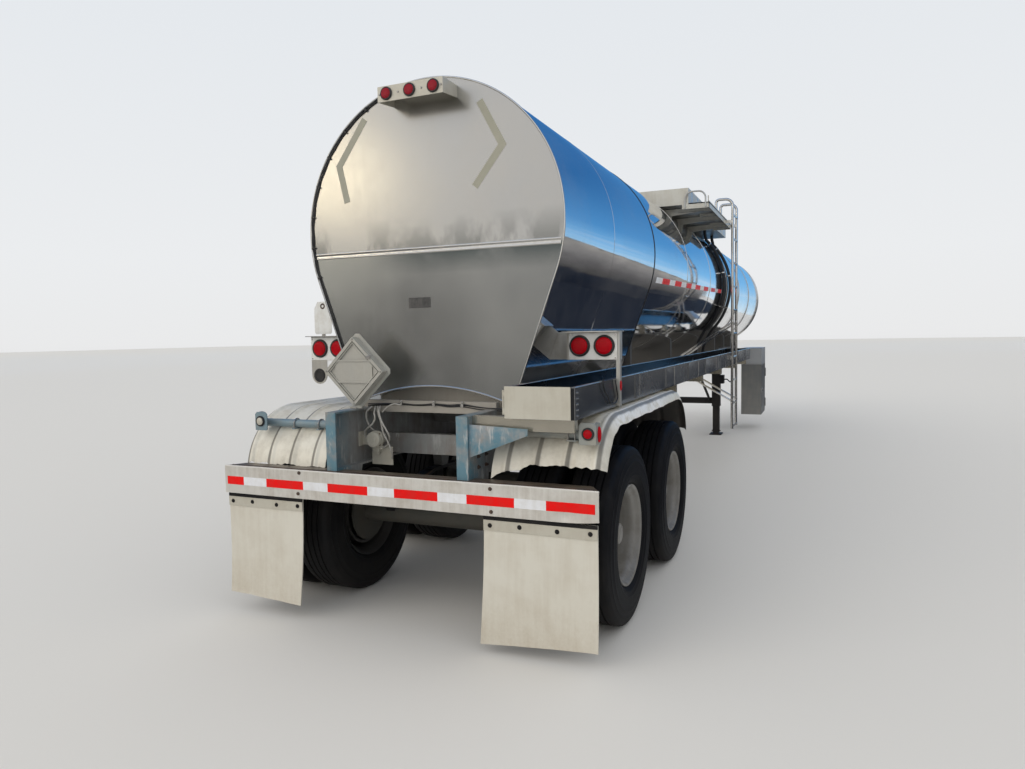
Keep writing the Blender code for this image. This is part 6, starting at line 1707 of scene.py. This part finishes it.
straps = [grown("bars", "deck", Count=8, Start=(x, fore(5.20), 3.246), Step=(0, 0.40, 0),
    Size=(0.0030, 0.030, 0.150)) for x in (-0.7988, 0.7988)]
softened("spill_dam", ["deck", "bright_trim"], 0.001, extra=[*each_dyed(1, *rim), *straps])
print("ladder and platform:", COUNT)

# %% [markdown]
# ## Manway, relief valve and drain hoses
# The manway's lid is a shallow dome with a ring of dogs and wing nuts round the collar. The rubber
# drain hoses leave the dam's floor, bend round the tank and go down past the rail, each held by bright
# bands.

# %% Manway and relief valve
MY, SEAT_Z, COLLAR = fore(6.050), 3.365, 0.2705
HINGE_X, HINGE_Z = -0.345, 3.385
collar = [(3.228, COLLAR - 0.010), (3.228, COLLAR), (3.350, COLLAR), (3.353, COLLAR + 0.004),
    (3.353, COLLAR + 0.019), (3.355, COLLAR + 0.020), (3.363, COLLAR + 0.020), (SEAT_Z, COLLAR + 0.018),
    (SEAT_Z, COLLAR - 0.010)]
dogs = bolts("bright_trim", on_circle(8, (0, MY, 3.353), 0.281, DOWNWARD, 22.5), 0.018, 0.014)
softened("manway_collar", ["brushed", "bright_trim"], 0.0015, extra=[dyed(turned(collar, "Z", (0, MY, 0), 96,
    loop=True), 1), dyed(dogs, 1)])
under = SEAT_Z + 0.0003
edge = 0.294
dome = turned(profile_from(under, (0, 0), (0, edge - 0.002), (0.002, edge), (0.012, edge),
    (0.014, edge - 0.003), (0.015, edge - 0.016), (0.019, edge - 0.022), (0.030, edge - 0.062),
    (0.040, edge - 0.110), (0.048, edge - 0.165), (0.0525, edge - 0.230), (0.054, 0)), "Z", (0, MY, 0), 96)
lug = prism([(HINGE_X, HINGE_Z - 0.018), (-edge + 0.030, under + 0.002), (-edge + 0.050, under + 0.016),
    (HINGE_X, HINGE_Z + 0.018), *arc((HINGE_X, HINGE_Z), 0.018, 100, 260, 12)], "Y", MY - 0.018, MY + 0.018)
nuts = bolts("brushed", on_circle(8, (0, MY, under + 0.0145), 0.272, UPWARD, 22.5), 0.022, 0.012, 6, 1.4, 0.5)
handle = bent([(0.06, MY - 0.07, under + 0.050), (0.06, MY - 0.07, under + 0.085),
    (0.06, MY + 0.07, under + 0.085), (0.06, MY + 0.07, under + 0.050)], 0.007, 0.02)
piece("manway_cover", merged(dome, lug, dyed(nuts, 1), dyed(handle, 1)), ["brushed", "bright_trim"],
    "manway_lid", "manway_lid", bevel=0.0006)
base = TANK_Z + TANK_RADIUS + 0.0003
vent = turned(profile_from(base, (0, 0), (0, 0.055), (0.010, 0.055), (0.012, 0.053), (0.012, 0.040),
    (0.016, 0.038), (0.070, 0.038), (0.072, 0.058), (0.076, 0.060), (0.092, 0.0575), (0.105, 0.050),
    (0.114, 0.034), (0.118, 0.0)), "Z", (0, fore(5.450), 0), 48)
vent_bolts = bolts("rusty", on_circle(6, (0, fore(5.450), base + 0.012), 0.047, UPWARD), 0.010, 0.006, 6, 1.1,
    0.5)
piece("vent", merged(vent, dyed(vent_bolts, 1)), ["aluminium", "rusty"], "relief_valve", smooth=40)

# %% Drain hoses
HOSE = 0.022
REACH = TANK_RADIUS + HOSE + 0.001
for name, at in (("rear", 7.180), ("front", 7.850)):
    y = fore(at)
    around = arc((0, TANK_Z), REACH, 43, -44, 40)
    start = around[0][0] - HOSE
    lead = [(start, DECK_Z - 0.0003), (start, DECK_Z - 0.030), (start + 0.004, DECK_Z - 0.060)]
    tail = flowing([(x, y, z) for x, z in (around[-1], (0.560, 1.600), (0.515, 1.460), (0.499, 1.320),
        (0.499, 1.200), (0.499, 1.080))], 6)
    body = tube([(x, y, z) for x, z in lead + around[:-1]] + tail, HOSE, 20)
    rings = []
    for turn in (38, 10, -20):
        a = math.radians(turn)
        x, z = REACH * math.cos(a), TANK_Z + REACH * math.sin(a)
        ring = turned([(-0.008, HOSE - 0.0008), (-0.008, HOSE + 0.0016), (0.008, HOSE + 0.0016),
            (0.008, HOSE - 0.0008)], "Z", (0, 0, 0), 32, loop=True)
        bmesh.ops.rotate(ring, cent=(0, 0, 0), matrix=Matrix.Rotation(-a, 3, "Y"), verts=ring.verts)
        bmesh.ops.translate(ring, vec=(x, y, z), verts=ring.verts)
        screw = box((-0.008, 0.008), (HOSE, HOSE + 0.010), (-0.006, 0.006))
        bmesh.ops.rotate(screw, cent=(0, 0, 0), matrix=Matrix.Rotation(-a, 3, "Y"), verts=screw.verts)
        bmesh.ops.translate(screw, vec=(x, y, z), verts=screw.verts)
        rings += [ring, screw]
    end = turned([(1.080, 0), (1.080, HOSE + 0.003), (1.118, HOSE + 0.003), (1.118, HOSE)], "Z",
        (0.499, y, 0), 32)
    piece(f"drain_pipe_{name}", merged(body, *each_dyed(1, *rings, end)), ["rubber", "bright_trim"],
        f"drain_hose_{name}", smooth=50)
print("top and hoses:", COUNT)

# %% [markdown]
# ## Locker, legs and what hangs below
# The locker's side shows two small reflectors and a drip groove, and its door, on the outer side, has
# a pressed panel and a latch. The landing legs, the coupler and the parts under the tank keep the
# solid model's shapes, with bolts, welds and round turned parts.

# %% Locker
reflectors = [box((x, x + 0.020), (fore(9.8968), fore(9.9003)), (1.222, 1.308)) for x in (0.874, 0.908)]
seam = box((0.862, 1.193), (fore(9.8985), fore(9.9003)), (1.158, 1.166))
drip = box((0.860, 1.195), (fore(9.8970), fore(9.9003)), (1.4225, 1.4300))
frame_strips = [box((0.860, 0.868), (fore(9.8985), fore(9.9003)), (0.272, 1.420)),
    box((1.187, 1.195), (fore(9.8985), fore(9.9003)), (0.272, 1.420)),
    box((0.868, 1.187), (fore(9.8985), fore(9.9003)), (0.272, 0.282)),
    box((0.868, 1.187), (fore(9.8985), fore(9.9003)), (0.600, 0.606))]
corner_rivets = bolts("brushed", [((x, fore(9.8985), z), BACKWARD) for x in (0.864, 1.191) for z in (0.30,
    0.50, 0.70, 0.90, 1.08, 1.20, 1.38)], 0.006, 0.0025, 12, 1.0, 0.3)
softened("locker", ["locker", "lens_dark", "brushed"], 0.002, extra=[*each_dyed(1, *reflectors), seam, drip,
    *frame_strips, dyed(corner_rivets, 2)])
panel = [box((1.1945, 1.1975), (fore(10.02), fore(10.58)), (0.40, 1.01)),
    box((1.1945, 1.1990), (fore(10.03), fore(10.57)), (0.41, 0.425)), box((1.1945, 1.1990),
    (fore(10.03), fore(10.57)), (0.985, 1.00))]
latch_plate = turned([(1.1945, 0), (1.1945, 0.034), (1.1985, 0.034), (1.2000, 0.030), (1.2000, 0)], "X",
    (0, fore(9.985), 0.705), 32)
paddle = bent([(1.199, fore(9.985), 0.722), (1.209, fore(9.985), 0.722), (1.209, fore(9.985), 0.672),
    (1.199, fore(9.985), 0.672)], 0.0045, 0.008)
softened("locker_door", ["locker", "bright_trim"], 0.0015, "locker_door",
    extra=[*panel, dyed(latch_plate, 1), dyed(paddle, 1)])

# %% Landing legs and coupler
LEG_X, LEG_Y = 0.5353, fore(9.160)
for side, name in ((1, "right"), (-1, "left")):
    marks = [((side * (LEG_X + 0.065), LEG_Y + dy, z), (side, 0, 0)) for dy in (-0.045, 0.045) for z in (1.12,
        1.20)]
    bands = [box(sorted((side * (LEG_X - 0.068), side * (LEG_X + 0.068))), (LEG_Y - 0.068, LEG_Y + 0.068),
        (z, z + 0.020)) for z in (0.481, 1.030)]
    pin = tube([(side * (LEG_X - 0.072), LEG_Y, 0.060), (side * (LEG_X + 0.072), LEG_Y, 0.060)], 0.012, 14)
    softened(f"landing_leg_{name}", ["black", "rusty"], 0.003, extra=[*bands,
        dyed(bolts("rusty", marks, 0.026, 0.014), 1), dyed(pin, 1)])
softened("landing_brace", "black", 0.002)
softened("coupler", "black", 0.003, extra=[turned([(1.2000, 0.036), (1.1960, 0.046), (1.1985, 0.058),
    (1.2000, 0.062)], "Z", (0, fore(11.966), 0), 48)])

# %% Under the tank
OY, OZ = fore(6.900), 1.330
top = TANK_Z - TANK_RADIUS - 0.0003
sump = turned([(top, 0), (top, 0.110), (top - 0.010, 0.112), (top - 0.020, 0.110), (top - 0.050, 0.090),
    (OZ + 0.062, 0.064), (OZ + 0.060, 0.090), (OZ + 0.050, 0.092), (OZ + 0.040, 0.090), (OZ + 0.036, 0.066),
    (OZ, 0.070), (OZ - 0.052, 0.062), (OZ - 0.060, 0.050), (OZ - 0.060, 0)], "Z", (0, OY, 0), 56)
flange = bolts("rusty", on_circle(8, (0, OY, OZ + 0.040), 0.078, DOWNWARD), 0.016, 0.010)
pipe = turned(profile_from(OY, (-0.560, 0), (-0.560, 0.056), (-0.552, 0.058), (-0.508, 0.058),
    (-0.500, 0.054), (-0.500, 0.040), (-0.160, 0.040), (-0.160, 0.060), (-0.156, 0.062), (-0.134, 0.062),
    (-0.130, 0.060), (-0.130, 0.045), (0, 0.045), (0, 0)), "Y", (0, 0, OZ - 0.010), 48)
grips = [box((x - 0.010, x + 0.010), (OY - 0.546, OY - 0.520), (OZ - 0.022, OZ + 0.002)) for x in (-0.062,
    0.062)]
lever = bent([(0, OY + 0.030, OZ - 0.058), (0, OY + 0.060, OZ - 0.066), (0.0, OY + 0.170, OZ - 0.066)], 0.007,
    0.012)
piece("belly_valve", merged(sump, pipe, *grips, dyed(flange, 1), dyed(lever, 1)), ["brushed", "rusty"],
    "outlet_valve", smooth=40)
tank_z = 1.196 - 0.0003 - 0.119
strap_at = ((-0.180, -0.150), (0.150, 0.180))
shell = turned([(-0.310, 0), (-0.309, 0.030), (-0.304, 0.060), (-0.294, 0.085), (-0.280, 0.103),
    (-0.262, 0.113), (-0.250, 0.115), (0.250, 0.115), (0.262, 0.113), (0.280, 0.103), (0.294, 0.085),
    (0.304, 0.060), (0.309, 0.030), (0.310, 0)], "X", (0, fore(3.150), tank_z), 56)
straps = [turned([(low, 0.1145), (low, 0.119), (high, 0.119), (high, 0.1145)], "X", (0, fore(3.150), tank_z),
    56, loop=True) for low, high in strap_at]
drain = turned([(tank_z - 0.128, 0), (tank_z - 0.128, 0.010), (tank_z - 0.110, 0.010), (tank_z - 0.110, 0)],
    "Z", (0.0, fore(3.150), 0), 12)
piece("air_tank", merged(shell, *each_dyed(1, *straps, drain)), ["black", "rusty"], "air_reservoir",
    smooth=40)
print("locker, legs and underside:", COUNT)

# %% Sizes, and the end
print("pieces:", COUNT["pieces"], "triangles:", COUNT["triangles"], "box:", plain_box())
